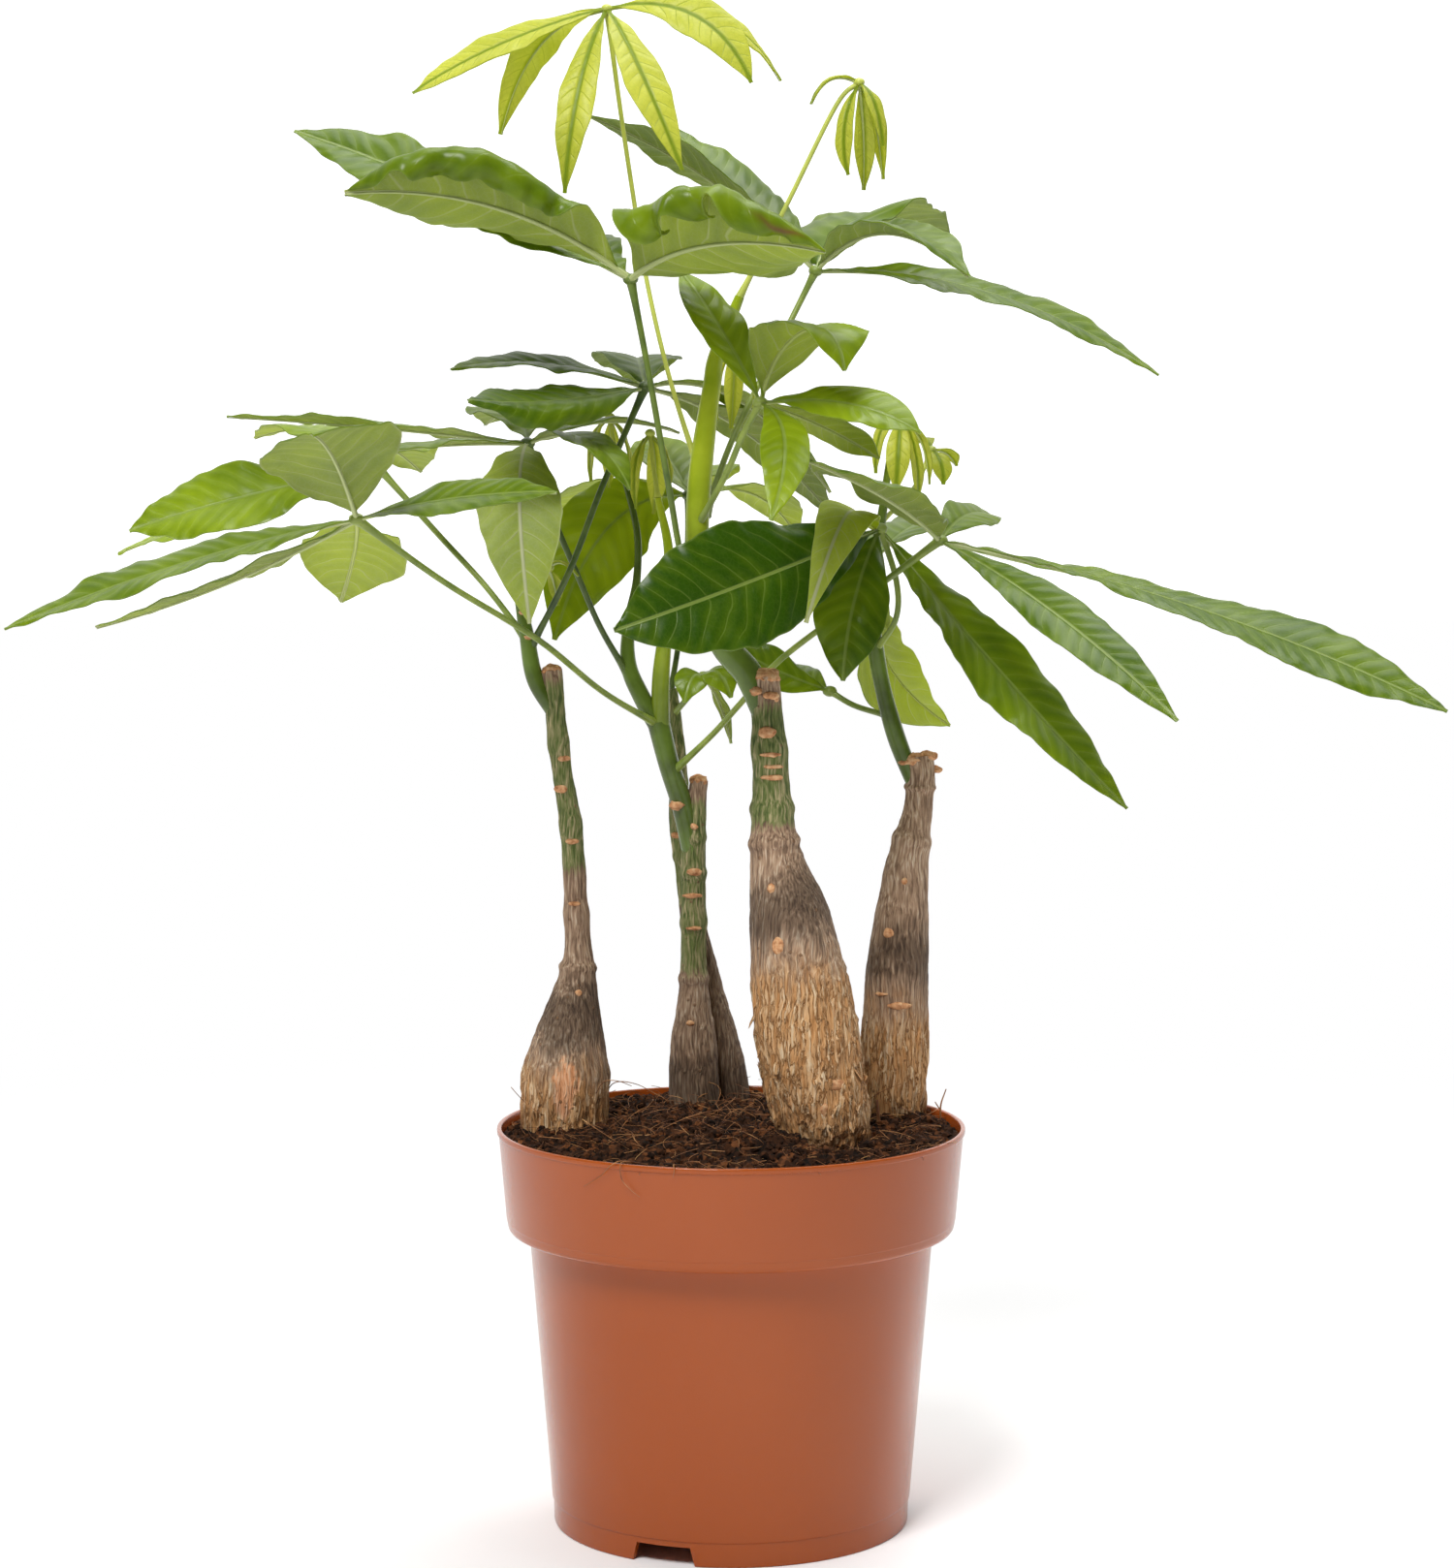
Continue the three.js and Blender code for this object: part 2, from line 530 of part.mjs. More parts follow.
function compost() {
  const points = [];
  const faces = [];
  const [floor, ledge, shoulder, rim] = INSIDE;
  const side = [
    [rim[0] - SOIL_EDGE, SOIL_Z],
    [shoulder[0] - GAP, shoulder[1] + GAP],
    [ledge[0] - GAP, ledge[1] + GAP],
    [floor[0] - GAP, floor[1] + GAP],
  ];
  const rimRadius = side[0][0];
  points.push(new THREE.Vector3(0, 0, soilTop(0, 0, rimRadius)));
  for (let ring = 1; ring <= SOIL_RINGS; ring += 1) {
    const radius = (rimRadius * ring) / SOIL_RINGS;
    for (let k = 0; k < SOIL_SECTORS; k += 1) {
      const angle = (2 * Math.PI * k) / SOIL_SECTORS;
      const x = radius * Math.cos(angle);
      const y = radius * Math.sin(angle);
      points.push(new THREE.Vector3(x, y, soilTop(x, y, rimRadius)));
    }
  }
  for (const [radius, z] of side.slice(1)) {
    for (let k = 0; k < SOIL_SECTORS; k += 1) {
      const angle = (2 * Math.PI * k) / SOIL_SECTORS;
      points.push(new THREE.Vector3(radius * Math.cos(angle), radius * Math.sin(angle), z));
    }
  }
  const rows = SOIL_RINGS + side.length - 1;
  for (let k = 0; k < SOIL_SECTORS; k += 1) {
    const next = (k + 1) % SOIL_SECTORS;
    faces.push(0, 1 + k, 1 + next);
    for (let row = 0; row < rows - 1; row += 1) {
      const a = 1 + row * SOIL_SECTORS + k;
      const b = 1 + row * SOIL_SECTORS + next;
      faces.push(a, a + SOIL_SECTORS, b + SOIL_SECTORS, a, b + SOIL_SECTORS, b);
    }
  }
  points.push(new THREE.Vector3(0, 0, floor[1] + GAP));
  const middle = points.length - 1;
  const outer = 1 + (rows - 1) * SOIL_SECTORS;
  for (let k = 0; k < SOIL_SECTORS; k += 1) {
    faces.push(middle, outer + ((k + 1) % SOIL_SECTORS), outer + k);
  }
  return solid(closedGeometry(points, faces));
}

// ---- trunks -------------------------------------------------------------

// How far the woody part stands out from round, as a share of its radius.
function unevenAt(share, angle, rings) {
  const bent = UNEVEN * (Math.sin(3 * angle + 9 * share) + 0.6 * Math.sin(5 * angle - 7 * share));
  const scars = rings.reduce((sum, at) => sum + Math.exp(-(((share - at) / SCAR_LENGTH) ** 2)), 0);
  return bent + SCAR_RISE * scars;
}

// extra widens the whole trunk, to cut its place in what touches it.
function trunk({ runs, rings }, extra) {
  const bodies = runs.map((run, index) => {
    const curve = smoothCurve(run);
    const sizes = smoothCurve(run.map((point) => [point[3], 0, 0]));
    const woody = index === 0;
    const radiusAt = (share, angle) => {
      const uneven = woody ? unevenAt(share, angle, rings) : 0;
      return sizes.getPoint(share).x * (1 + uneven) + extra;
    };
    const beside = 1.7 * SCAR_LENGTH;
    const shares = woody
      ? [...evenly(run.length + 2), ...rings.flatMap((at) => [at - beside, at, at + beside])]
      : evenly(Math.ceil((run.length - 1) * 1.5));
    shares.sort((a, b) => a - b);
    return solid(tube(curve, shares, woody ? TRUNK_SIDES : SHOOT_SIDES, radiusAt));
  });
  return join(bodies);
}

// ---- leaves -------------------------------------------------------------

// Half width of a leaflet as a share of its widest half, from hub to tip: a
// sine, made fuller by its exponent and drawn out at the tip.
function outlineAt(share, widest) {
  const along = Math.max((share - BLADE_START) / (1 - BLADE_START), 0);
  const power = Math.log(0.5) / Math.log(widest);
  const swelling = Math.max(Math.sin(Math.PI * along ** power), 0);
  return swelling ** 0.8 * (1 - 0.35 * along ** 8);
}

// The midrib passes mid halfway along. One with a fold passes mid at a third
// of its length and fold at two thirds.

function midribOf({ tip, mid, fold }) {
  const start = new THREE.Vector3();
  const end = vector(tip);
  const through = vector(mid);
  if (fold === undefined) {
    const pull = through.multiplyScalar(2).addScaledVector(end, -0.5);
    return new THREE.QuadraticBezierCurve3(start, pull, end);
  }
  const second = vector(fold);
  const pullA = end.clone().divideScalar(3);
  pullA.addScaledVector(through, 3).addScaledVector(second, -1.5);
  const pullB = end.clone().multiplyScalar(-5 / 6);
  pullB.addScaledVector(second, 3).addScaledVector(through, -1.5);
  return new THREE.CubicBezierCurve3(start, pullA, pullB, end);
}

// A thin blade, creased along its midrib, with curling and waved edges.
function leaflet(shape, number) {
  const { width, roll = 0, twist = 0, widest = 0.55, cup = [-CURL, -CURL] } = shape;
  const across = shape.cup === undefined ? 1 : 2;
  const stations = width < NARROW ? FEW_STATIONS : STATIONS;
  const frames = carried(midribOf(shape), stations);
  const columns = 2 * across + 1;
  const points = [];
  frames.forEach((frame, row) => {
    const share = stations[row];
    const half = Math.max((width / 2) * outlineAt(share, widest), LEAST_HALF);
    const turn = (roll + twist * share) * DEG;
    const right = frame.side.clone().applyAxisAngle(frame.ahead, -turn);
    const normal = frame.above.clone().applyAxisAngle(frame.ahead, -turn);
    for (let column = -across; column <= across; column += 1) {
      const sign = Math.sign(column);
      const curl = (sign < 0 ? cup[0] : cup[1]) * DEG;
      let out = 0;
      let up = 0;
      for (let k = 0; k < Math.abs(column); k += 1) {
        const slope = CREASE * DEG + (curl * (k + 0.5)) / across;
        out += (Math.cos(slope) * half) / across;
        up += (Math.sin(slope) * half) / across;
      }
      const swell = Math.sin(Math.PI * share) * (Math.abs(column) / across) ** 2;
      up += WAVE * width * swell * Math.sin(2 * Math.PI * WAVES * share + number * 2.4 + sign);
      const middle = frame.at.clone().addScaledVector(right, sign * out).addScaledVector(normal, up);
      points.push(middle.clone().addScaledVector(normal, BLADE / 2));
      points.push(middle.addScaledVector(normal, -BLADE / 2));
    }
  });
  return solid(closedGeometry(points, bladeFaces(frames.length, columns)));
}

// Top and bottom are split into triangles alike, so that they never cross.
function bladeFaces(rows, columns) {
  const faces = [];
  const top = (row, column) => 2 * (row * columns + column);
  const bottom = (row, column) => top(row, column) + 1;
  const quad = (a, b, c, d) => faces.push(a, b, c, a, c, d);
  const last = columns - 1;
  const end = rows - 1;
  for (let row = 0; row < end; row += 1) {
    for (let column = 0; column < last; column += 1) {
      quad(top(row, column), top(row, column + 1), top(row + 1, column + 1), top(row + 1, column));
      faces.push(bottom(row, column), bottom(row + 1, column + 1), bottom(row, column + 1));
      faces.push(bottom(row, column), bottom(row + 1, column), bottom(row + 1, column + 1));
    }
    quad(bottom(row, 0), top(row, 0), top(row + 1, 0), bottom(row + 1, 0));
    quad(top(row, last), bottom(row, last), bottom(row + 1, last), top(row + 1, last));
  }
  for (let column = 0; column < last; column += 1) {
    quad(bottom(0, column), bottom(0, column + 1), top(0, column + 1), top(0, column));
    quad(top(end, column), top(end, column + 1), bottom(end, column + 1), bottom(end, column));
  }
  return faces;
}

// The stalk is thick where it leaves the stem and again under the hub.
function leaf({ stalk, leaflets, young }) {
  const size = young ? YOUNG_SIZE : 1;
  const radiusAt = (share) => {
    const base = STALK_BASE * Math.exp(-share / SWELLING);
    const neck = STALK_NECK * Math.exp(-(1 - share) / SWELLING);
    return STALK_RADIUS * size * (1 + base + neck);
  };
  const shares = [0, SWELLING, ...evenly(stalk.length + 2).slice(1, -1), 1 - SWELLING, 1];
  const stem = solid(tube(smoothCurve(stalk), shares, young ? 4 : 5, radiusAt));
  const hub = vector(stalk[stalk.length - 1]);
  const knob = new THREE.IcosahedronGeometry(HUB_RADIUS * size, 0);
  knob.translate(hub.x, hub.y, hub.z);
  const blades = leaflets.map((shape, number) => leaflet(shape, number).translate(hub.toArray()));
  return join([stem, solid(knob), ...blades]);
}

// ---- assembly -----------------------------------------------------------

const plant = new THREE.Group();

function add(name, body, look) {
  const mesh = new THREE.Mesh(surface(body), new THREE.MeshStandardMaterial(look));
  mesh.name = name;
  plant.add(mesh);
}

add('pot', pot(), finish.pot);

const trunkNames = Object.keys(trunks);
const bed = trunkNames.reduce((body, name) => body.subtract(trunk(trunks[name], GAP)), compost());
add('compost', largest(bed), finish.compost);

for (const name of trunkNames) {
  add(name, trunk(trunks[name], 0), finish.bark);
}

for (const [name, shape] of Object.entries(leaves)) {
  const whole = leaf(shape);
  const freed = whole.subtract(trunk(trunks[shape.trunk], GAP));
  add(name, largest(freed), shape.young ? finish.young : finish.leaf);
}

export default plant;
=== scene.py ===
# Potted money tree: five young trunks with swollen bases in compost in a round plastic pot, under a crown of
# hand-shaped leaves on long stalks. Metres, +Z up: the pot's foot stands on the floor and its front faces -Y.

import math
import bpy
import numpy as np
from mathutils import Matrix, Vector


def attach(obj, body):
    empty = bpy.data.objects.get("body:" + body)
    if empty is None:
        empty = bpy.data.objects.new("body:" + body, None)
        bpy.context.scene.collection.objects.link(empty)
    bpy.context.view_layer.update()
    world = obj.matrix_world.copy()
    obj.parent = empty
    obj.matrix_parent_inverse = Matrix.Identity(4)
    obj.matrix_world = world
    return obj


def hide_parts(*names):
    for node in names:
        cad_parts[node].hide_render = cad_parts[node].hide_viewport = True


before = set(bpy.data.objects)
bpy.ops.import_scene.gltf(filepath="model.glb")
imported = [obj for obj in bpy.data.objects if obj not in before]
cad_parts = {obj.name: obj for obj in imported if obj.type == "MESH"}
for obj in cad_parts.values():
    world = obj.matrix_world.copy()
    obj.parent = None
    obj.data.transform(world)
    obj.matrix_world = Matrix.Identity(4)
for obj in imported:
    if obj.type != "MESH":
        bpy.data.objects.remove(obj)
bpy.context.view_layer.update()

MM = 0.001
NOISE = "ShaderNodeTexNoise"
RANGE = "ShaderNodeMapRange"
RAMP = "ShaderNodeValToRGB"
MIX = "ShaderNodeMix"
VECTOR = "ShaderNodeVectorMath"
ATTRIBUTE = "GeometryNodeInputNamedAttribute"
STORE = "GeometryNodeStoreNamedAttribute"
MOVE = "GeometryNodeSetPosition"
PAINT = "GeometryNodeSetMaterial"
JOIN = "GeometryNodeJoinGeometry"
TRUNK_SIDES, STALK_SIDES, HAIR_SIDES = 96, 12, 5
TRUNK_STEPS, SHOOT_STEPS, FINE_STEPS = 22, 10, 8  # from each row of a path to the next


# ---- nodes --------------------------------------------------------------

def linear(code):
    """The linear colour of an sRGB hex value such as "#a65f3e"."""
    parts = [int(code[k:k + 2], 16) / 255 for k in (1, 3, 5)]
    return (*[p / 12.92 if p <= 0.04045 else ((p + 0.055) / 1.055) ** 2.4 for p in parts], 1.0)


def add(tree, kind, *inputs, sockets=None, stops=(), **settings):
    """Adds one node. A kind in capitals is what a Math node does. Settings are the node's own properties, and
    stops are the positions and hex colours of a ramp. Inputs fill the open sockets in order, and sockets are
    filled by name: a node or socket is linked, a list of them goes to a socket that takes several, None
    leaves the socket alone, and anything else is its value."""
    if kind.isupper():
        kind, settings = "ShaderNodeMath", {"operation": kind, **settings}
    node = tree.nodes.new(kind)
    for name, value in settings.items():
        setattr(node, name, value)
    for number, (position, code) in enumerate(stops):
        marks = node.color_ramp.elements
        mark = marks[number] if number < len(marks) else marks.new(position)
        mark.position = position
        mark.color = linear(code)
    pairs = list(zip([s for s in node.inputs if s.enabled], inputs))
    pairs += [(node.inputs[name], value) for name, value in (sockets or {}).items()]
    for socket, given in pairs:
        for item in given if isinstance(given, list) else [given]:
            if isinstance(item, bpy.types.Node):
                item = next(output for output in item.outputs if output.enabled)
            if isinstance(item, bpy.types.NodeSocket):
                tree.links.new(item, socket)
            elif item is not None:
                socket.default_value = item
    return node


def new_tree(name, sizes):
    """An empty Geometry Nodes tree with named inputs, and the outputs that give their values."""
    tree = bpy.data.node_groups.new(name, "GeometryNodeTree")
    tree.interface.new_socket("Geometry", in_out="INPUT", socket_type="NodeSocketGeometry")
    tree.interface.new_socket("Geometry", in_out="OUTPUT", socket_type="NodeSocketGeometry")
    for label, kind in sizes.items():
        tree.interface.new_socket(label, in_out="INPUT", socket_type="NodeSocket" + kind)
    return tree, tree.nodes.new("NodeGroupInput").outputs


def grow(piece, tree, sizes):
    """Puts a tree on a piece as a modifier, with its named inputs set."""
    modifier = piece.modifiers.new(tree.name, "NODES")
    modifier.node_group = tree
    for item in tree.interface.items_tree:
        if item.in_out == "INPUT" and item.name in sizes:
            modifier[item.identifier] = sizes[item.name]


def new_piece(name, points=(), edges=(), faces=()):
    mesh = bpy.data.meshes.new(name)
    mesh.from_pydata([tuple(p) for p in points], edges, faces)
    piece = bpy.data.objects.new(name, mesh)
    bpy.context.scene.collection.objects.link(piece)
    return piece


def finished(piece, slot, *nodes):
    """Turns the modifiers' result into a plain mesh and hands the piece over to the frame."""
    graph = bpy.context.evaluated_depsgraph_get()
    mesh = bpy.data.meshes.new_from_object(piece.evaluated_get(graph), depsgraph=graph)
    piece.modifiers.clear()
    used = {face.material_index for face in mesh.polygons}
    for number in reversed(range(len(mesh.materials))):
        if number not in used:
            mesh.materials.pop(index=number)
    piece.data = mesh
    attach(piece, "root")
    if nodes:
        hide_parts(*nodes)
    return piece


# ---- materials ----------------------------------------------------------

def new_material(name):
    """A material, its emptied tree and the output that gives the place on the part."""
    material = bpy.data.materials.new(name)
    material.use_nodes = True
    tree = material.node_tree
    tree.nodes.clear()
    return material, tree, add(tree, "ShaderNodeTexCoord").outputs["Object"]


def surface(tree, colour, rough, height, depth, glow=None, share=0.0, sheen=0.5, blur=0.1):
    """Ends a material: a gloss layer with a bump of the given depth, and a share of light let through."""
    bump = add(tree, "ShaderNodeBump", sockets={"Distance": depth, "Height": height, "Filter Width": blur})
    shader = add(tree, "ShaderNodeBsdfPrincipled", sockets={
        "Base Color": colour, "Roughness": rough, "Normal": bump, "Specular IOR Level": sheen})
    if glow is not None:
        through = add(tree, "ShaderNodeBsdfTranslucent", glow)
        shader = add(tree, "ShaderNodeMixShader", share, shader, through)
    add(tree, "ShaderNodeOutputMaterial", shader)


def speckled(name, scale, detail, stops, rough, depth, sheen=0.5):
    """A skin whose colour and relief follow one fine pattern."""
    material, tree, place = new_material(name)
    patch = add(tree, NOISE, sockets={"Vector": place, "Scale": scale, "Detail": detail})
    surface(tree, add(tree, RAMP, patch, stops=stops), rough, patch, depth, sheen=sheen)
    return material


def pot_plastic():
    """Injection-moulded polypropylene: an even satin skin with a very fine grain."""
    material, tree, place = new_material("moulded terracotta polypropylene")
    # The melt's colour drifts over 60 to 100 mm, too little to see as patches.
    cloud = add(tree, NOISE, sockets={"Vector": place, "Scale": 12.0, "Detail": 2.0})
    tint = add(tree, RAMP, cloud, stops=[(0.3, "#a04a14"), (0.7, "#a64f19")])
    rough = add(tree, RANGE, cloud, 0.3, 0.7, 0.17, 0.21)
    # The mould's spark-eroded grain, 0.4 mm, drawn a little coarser than life.
    grain = add(tree, NOISE, sockets={"Vector": place, "Scale": 2500.0, "Detail": 2.0})
    surface(tree, tint, rough, grain, 0.00004, sheen=0.4)
    return material


def peat():
    """Moist peat: dark, matt crumbs, some of them lighter and reddish where they have dried."""
    material, tree, place = new_material("moist peat")
    crumb = add(tree, "ShaderNodeTexVoronoi", sockets={"Vector": place, "Scale": 520.0})
    patch = add(tree, NOISE, sockets={"Vector": place, "Scale": 90.0, "Detail": 6.0})
    mixed = add(tree, "MULTIPLY", crumb.outputs["Color"], patch)
    tint = add(tree, RAMP, mixed, stops=[(0.08, "#150b05"), (0.32, "#3a2111"), (0.62, "#84502c")])
    surface(tree, tint, 0.95, patch, 0.0006, sheen=0.2)
    return material


def bark():
    """The stem's skin. Old cork is matt, grey-brown and finely lined along the stem, darkest at its lower
    end, below which it splits into ochre strips. Higher up a green skin shows, and shoots are all green,
    smooth and glossy. over_ochre is millimetres above the end of the strips, and over_green is millimetres
    inside the green stretch."""
    material, tree, place = new_material("lined cork and green stem skin")
    over_ochre, over_green, fresh, woody, dark, bare = (
        add(tree, "ShaderNodeAttribute", attribute_name=name).outputs["Fac"]
        for name in ("over_ochre", "over_green", "fresh", "woody", "dark", "bare"))
    # Hair lines 0.7 mm apart and strips of about 2 by 14 mm run along the stem.
    sway = add(tree, NOISE, sockets={"Vector": place, "Scale": 70.0, "Detail": 2.0})
    bent = add(tree, VECTOR, sway.outputs["Color"], (0.004, 0.004, 0.004), place, operation="MULTIPLY_ADD")
    drawn = add(tree, VECTOR, bent, (1, 1, 0.075), operation="MULTIPLY")
    lines = add(tree, NOISE, sockets={"Vector": drawn, "Scale": 1300.0, "Detail": 3.0})
    fine = add(tree, RANGE, lines, 0.32, 0.68)
    strip = add(tree, VECTOR, bent, (1, 1, 0.14), operation="MULTIPLY")
    strip = add(tree, NOISE, sockets={
        "Vector": strip, "Scale": 540.0, "Detail": 4.0, "Roughness": 0.6, "Distortion": 0.4})
    raised = add(tree, RANGE, strip, 0.44, 0.56)
    patch = add(tree, NOISE, sockets={"Vector": place, "Scale": 60.0, "Detail": 4.0})
    ragged = add(tree, "MULTIPLY_ADD", patch, 26.0, -13.0)
    ragged = add(tree, "ADD", add(tree, "MULTIPLY_ADD", strip, 24.0, ragged), -12.0)
    low = add(tree, "ADD", over_ochre, ragged)
    flaking = add(tree, RANGE, low, 8.0, -14.0, interpolation_type="SMOOTHSTEP")
    over = add(tree, RANGE, low, 2.0, 16.0, interpolation_type="SMOOTHSTEP")
    under = add(tree, RANGE, low, 40.0, 20.0, 0.0, 0.72, interpolation_type="SMOOTHSTEP")
    burnt = add(tree, "MULTIPLY", over, under)
    fringe = add(tree, "MULTIPLY_ADD", ragged, 0.35, over_green)
    fringe = add(tree, "MULTIPLY_ADD", lines, 14.0, fringe)
    skinned = add(tree, RANGE, fringe, 5.0, 8.0)

    worn = add(tree, "MULTIPLY_ADD", fine, 0.6, add(tree, "MULTIPLY", patch, 0.4))
    cork = add(tree, RAMP, worn, stops=[
        (0.1, "#5a4433"), (0.4, "#957860"), (0.62, "#b7987c"), (0.9, "#dac6ae")])
    # Painted shade: each trunk's own share darkens its cork towards grey-brown, most on the trunks that stand
    # behind the others and under the crown. The band just above the ochre strips is darkened by the same
    # multiply.
    band_and_painted_shade = add(tree, "MAXIMUM", burnt, dark)
    cork = add(tree, MIX, band_and_painted_shade, cork, linear("#67625a"), data_type="RGBA", blend_type="MULTIPLY")
    # Dark cracks follow the outlines of the strips.
    crack = add(tree, "ABSOLUTE", add(tree, "SUBTRACT", strip, 0.5))
    crack = add(tree, RANGE, crack, 0.0, 0.035, 0.42, 1.0)
    chips = add(tree, "MULTIPLY_ADD", raised, 0.25, add(tree, "MULTIPLY", fine, 0.4))
    chips = add(tree, "MULTIPLY", add(tree, "ADD", chips, 0.35), crack)
    flakes = add(tree, RAMP, chips, stops=[
        (0.08, "#5a3418"), (0.3, "#9c6836"), (0.5, "#c48e58"), (0.75, "#d8aa78"), (1.0, "#eed6b0")])
    green = add(tree, RAMP, worn, stops=[
        (0.15, "#3c4c1e"), (0.42, "#66713a"), (0.62, "#888658"), (0.82, "#b3a47c")])
    smooth = add(tree, RAMP, patch, stops=[(0.3, "#3d4c12"), (0.65, "#637a2c")])
    young = add(tree, RAMP, patch, stops=[(0.3, "#8a9e12"), (0.7, "#adba2c")])
    shoot = add(tree, MIX, fresh, smooth, young, data_type="RGBA")
    green = add(tree, MIX, woody, shoot, green, data_type="RGBA")
    colour = add(tree, MIX, flaking, cork, flakes, data_type="RGBA")
    colour = add(tree, MIX, skinned, colour, green, data_type="RGBA")
    # Where a strip has come off, the fresh bark under it is orange.
    peeled = add(tree, RAMP, worn, stops=[(0.2, "#c67f4c"), (0.5, "#e6a678"), (0.8, "#f0c8a2")])
    colour = add(tree, MIX, bare, colour, peeled, data_type="RGBA")
    # Corky pores about 1 mm across stand 6 mm apart.
    pore = add(tree, "ShaderNodeTexVoronoi", sockets={"Vector": place, "Scale": 170.0})
    pore = add(tree, RANGE, pore.outputs["Distance"], 0.13, 0.08, 0.0, 0.7)
    pore = add(tree, "MULTIPLY", pore, woody)
    colour = add(tree, MIX, pore, colour, linear("#7d5a3c"), data_type="RGBA")
    cover = add(tree, "MULTIPLY_ADD", skinned, 0.35, 0.65)
    gloss = add(tree, "MULTIPLY", cover, add(tree, "SUBTRACT", 1.0, woody))
    rough = add(tree, RANGE, gloss, 0.0, 1.0, 0.8, 0.26)
    coarse = add(tree, "MULTIPLY_ADD", add(tree, "MULTIPLY", crack, flaking), 1.6, fine)
    coarse = add(tree, "ADD", coarse, pore)
    calm = add(tree, RANGE, gloss, 0.0, 1.0, 1.0, 0.03)
    height = add(tree, "MULTIPLY", coarse, calm)
    surface(tree, colour, rough, height, 0.0005, sheen=0.4)
    return material


def stalk_skin():
    """Leaf stalks: a smooth waxy green skin, paler and yellower on young leaves."""
    material, tree, place = new_material("waxy green leaf stalk")
    tone = add(tree, "ShaderNodeAttribute", attribute_name="fresh").outputs["Fac"]
    patch = add(tree, NOISE, sockets={"Vector": place, "Scale": 120.0, "Detail": 3.0})
    uneven = add(tree, RANGE, patch, 0.2, 0.8, -0.15, 0.15)
    mixed = add(tree, "ADD", tone, uneven)
    tint = add(tree, RAMP, mixed, stops=[
        (0.0, "#33491a"), (0.3, "#6d8030"), (0.55, "#97a648"), (1.0, "#cdd25c")])
    surface(tree, tint, 0.42, patch, 0.0001)
    return material


def leaf_skin(name, shade, bright, vein, contrast, through, share, rough, raised, vein_depth, rib_width=0.9):
    """One side of a leaf: a waxy skin over soft tissue that lets light through. Side veins leave the midrib
    at even steps, with a faint net of finer ones between them; contrast is how far they differ from the
    tissue. raised is 1 where the veins stand out of the skin and -1 where they are sunk in it."""
    material, tree, place = new_material(name)
    blade = add(tree, "ShaderNodeAttribute", attribute_name="blade")
    away, phase, along = add(tree, "ShaderNodeSeparateXYZ", blade.outputs["Vector"]).outputs
    lobe = add(tree, "ShaderNodeAttribute", attribute_name="lobe")
    margin, tone, blemish = add(tree, "ShaderNodeSeparateXYZ", lobe.outputs["Vector"]).outputs
    # Side veins 0.5 mm wide, thinner towards the edge; the distance to the nearest one is in periods.
    near = add(tree, "PINGPONG", phase, 0.5)
    thin = add(tree, RANGE, margin, 0.0, 1.0, 0.05, 0.025)
    soft = add(tree, "DIVIDE", near, thin)
    side = add(tree, RANGE, soft, 1.5, 0.3, interpolation_type="SMOOTHSTEP")
    fade = add(tree, RANGE, margin, 0.75, 0.97, contrast, 0.0)
    side = add(tree, "MULTIPLY", side, fade)
    away = add(tree, "ABSOLUTE", away)
    rib = add(tree, RANGE, away, rib_width, 0.4, interpolation_type="SMOOTHSTEP")
    edge = add(tree, RANGE, margin, 0.96, 1.0, 0.0, 0.55)
    spot = add(tree, "ShaderNodeCombineXYZ", away, along, tone)
    net = add(tree, "ShaderNodeTexVoronoi", feature="DISTANCE_TO_EDGE", sockets={
        "Vector": spot, "Scale": 0.5})
    mesh = add(tree, RANGE, net, 0.1, 0.0, 0.0, 0.3 * contrast)
    veins = add(tree, "MAXIMUM", side, rib)
    veins = add(tree, "MAXIMUM", veins, edge)
    drawn = add(tree, "MAXIMUM", veins, mesh)
    # The tissue is uneven over 20 to 40 mm, and lighter beside the veins and towards the edge.
    patch = add(tree, NOISE, sockets={"Vector": place, "Scale": 38.0, "Detail": 3.0})
    uneven = add(tree, RANGE, patch, 0.25, 0.75, -0.2, 0.2)
    between = add(tree, RANGE, near, 0.0, 0.5, 0.08, -0.05)
    mixed = add(tree, "ADD", tone, uneven)
    mixed = add(tree, "ADD", mixed, between, use_clamp=True)
    base = add(tree, MIX, mixed, linear(shade), linear(bright), data_type="RGBA")
    colour = add(tree, MIX, drawn, base, linear(vein), data_type="RGBA")
    colour = add(tree, MIX, blemish, colour, linear("#7a4a30"), data_type="RGBA")
    glow = add(tree, MIX, mixed, linear(through[0]), linear(through[1]), data_type="RGBA")
    height = add(tree, "MULTIPLY", veins, raised)
    surface(tree, colour, rough, height, vein_depth, glow, share, sheen=0.35, blur=1.0)
    return material


def rib_skin():
    """The midrib under a leaflet: a smooth pale rib."""
    material, tree, place = new_material("pale smooth midrib")
    tone = add(tree, "ShaderNodeAttribute", attribute_name="fresh").outputs["Fac"]
    tint = add(tree, RAMP, tone, stops=[(0.0, "#a9b184"), (0.5, "#b3bd7c"), (0.9, "#aab64a")])
    patch = add(tree, NOISE, sockets={"Vector": place, "Scale": 300.0})
    surface(tree, tint, 0.5, patch, 0.0001)
    return material


# ---- trees for what grows -----------------------------------------------

CREASE = math.radians(14)
BLADE = 0.45 * MM
SIDE_LEAN = 0.55  # how far a side vein leans forward for each step outwards
SIDE_CURVE = 0.35
EDGE_WAVES = 2.2
WAVE_HEIGHT = 0.035  # to the leaflet's width
UNEVEN_OUTLINE = 0.22
RIB_DROP = 0.45 * MM


def roughened(t, shape, scale, detail, depth):
    """The shape with its surface pushed in and out by a noise, depth from its lowest to its highest."""
    place = add(t, "GeometryNodeInputPosition")
    lump = add(t, NOISE, sockets={"Vector": place, "Scale": scale, "Detail": detail})
    lump = add(t, "MULTIPLY", add(t, "SUBTRACT", lump, 0.5), depth)
    out = add(t, VECTOR, add(t, "GeometryNodeInputNormal"), sockets={"Scale": lump}, operation="SCALE")
    return add(t, MOVE, shape, None, None, out)


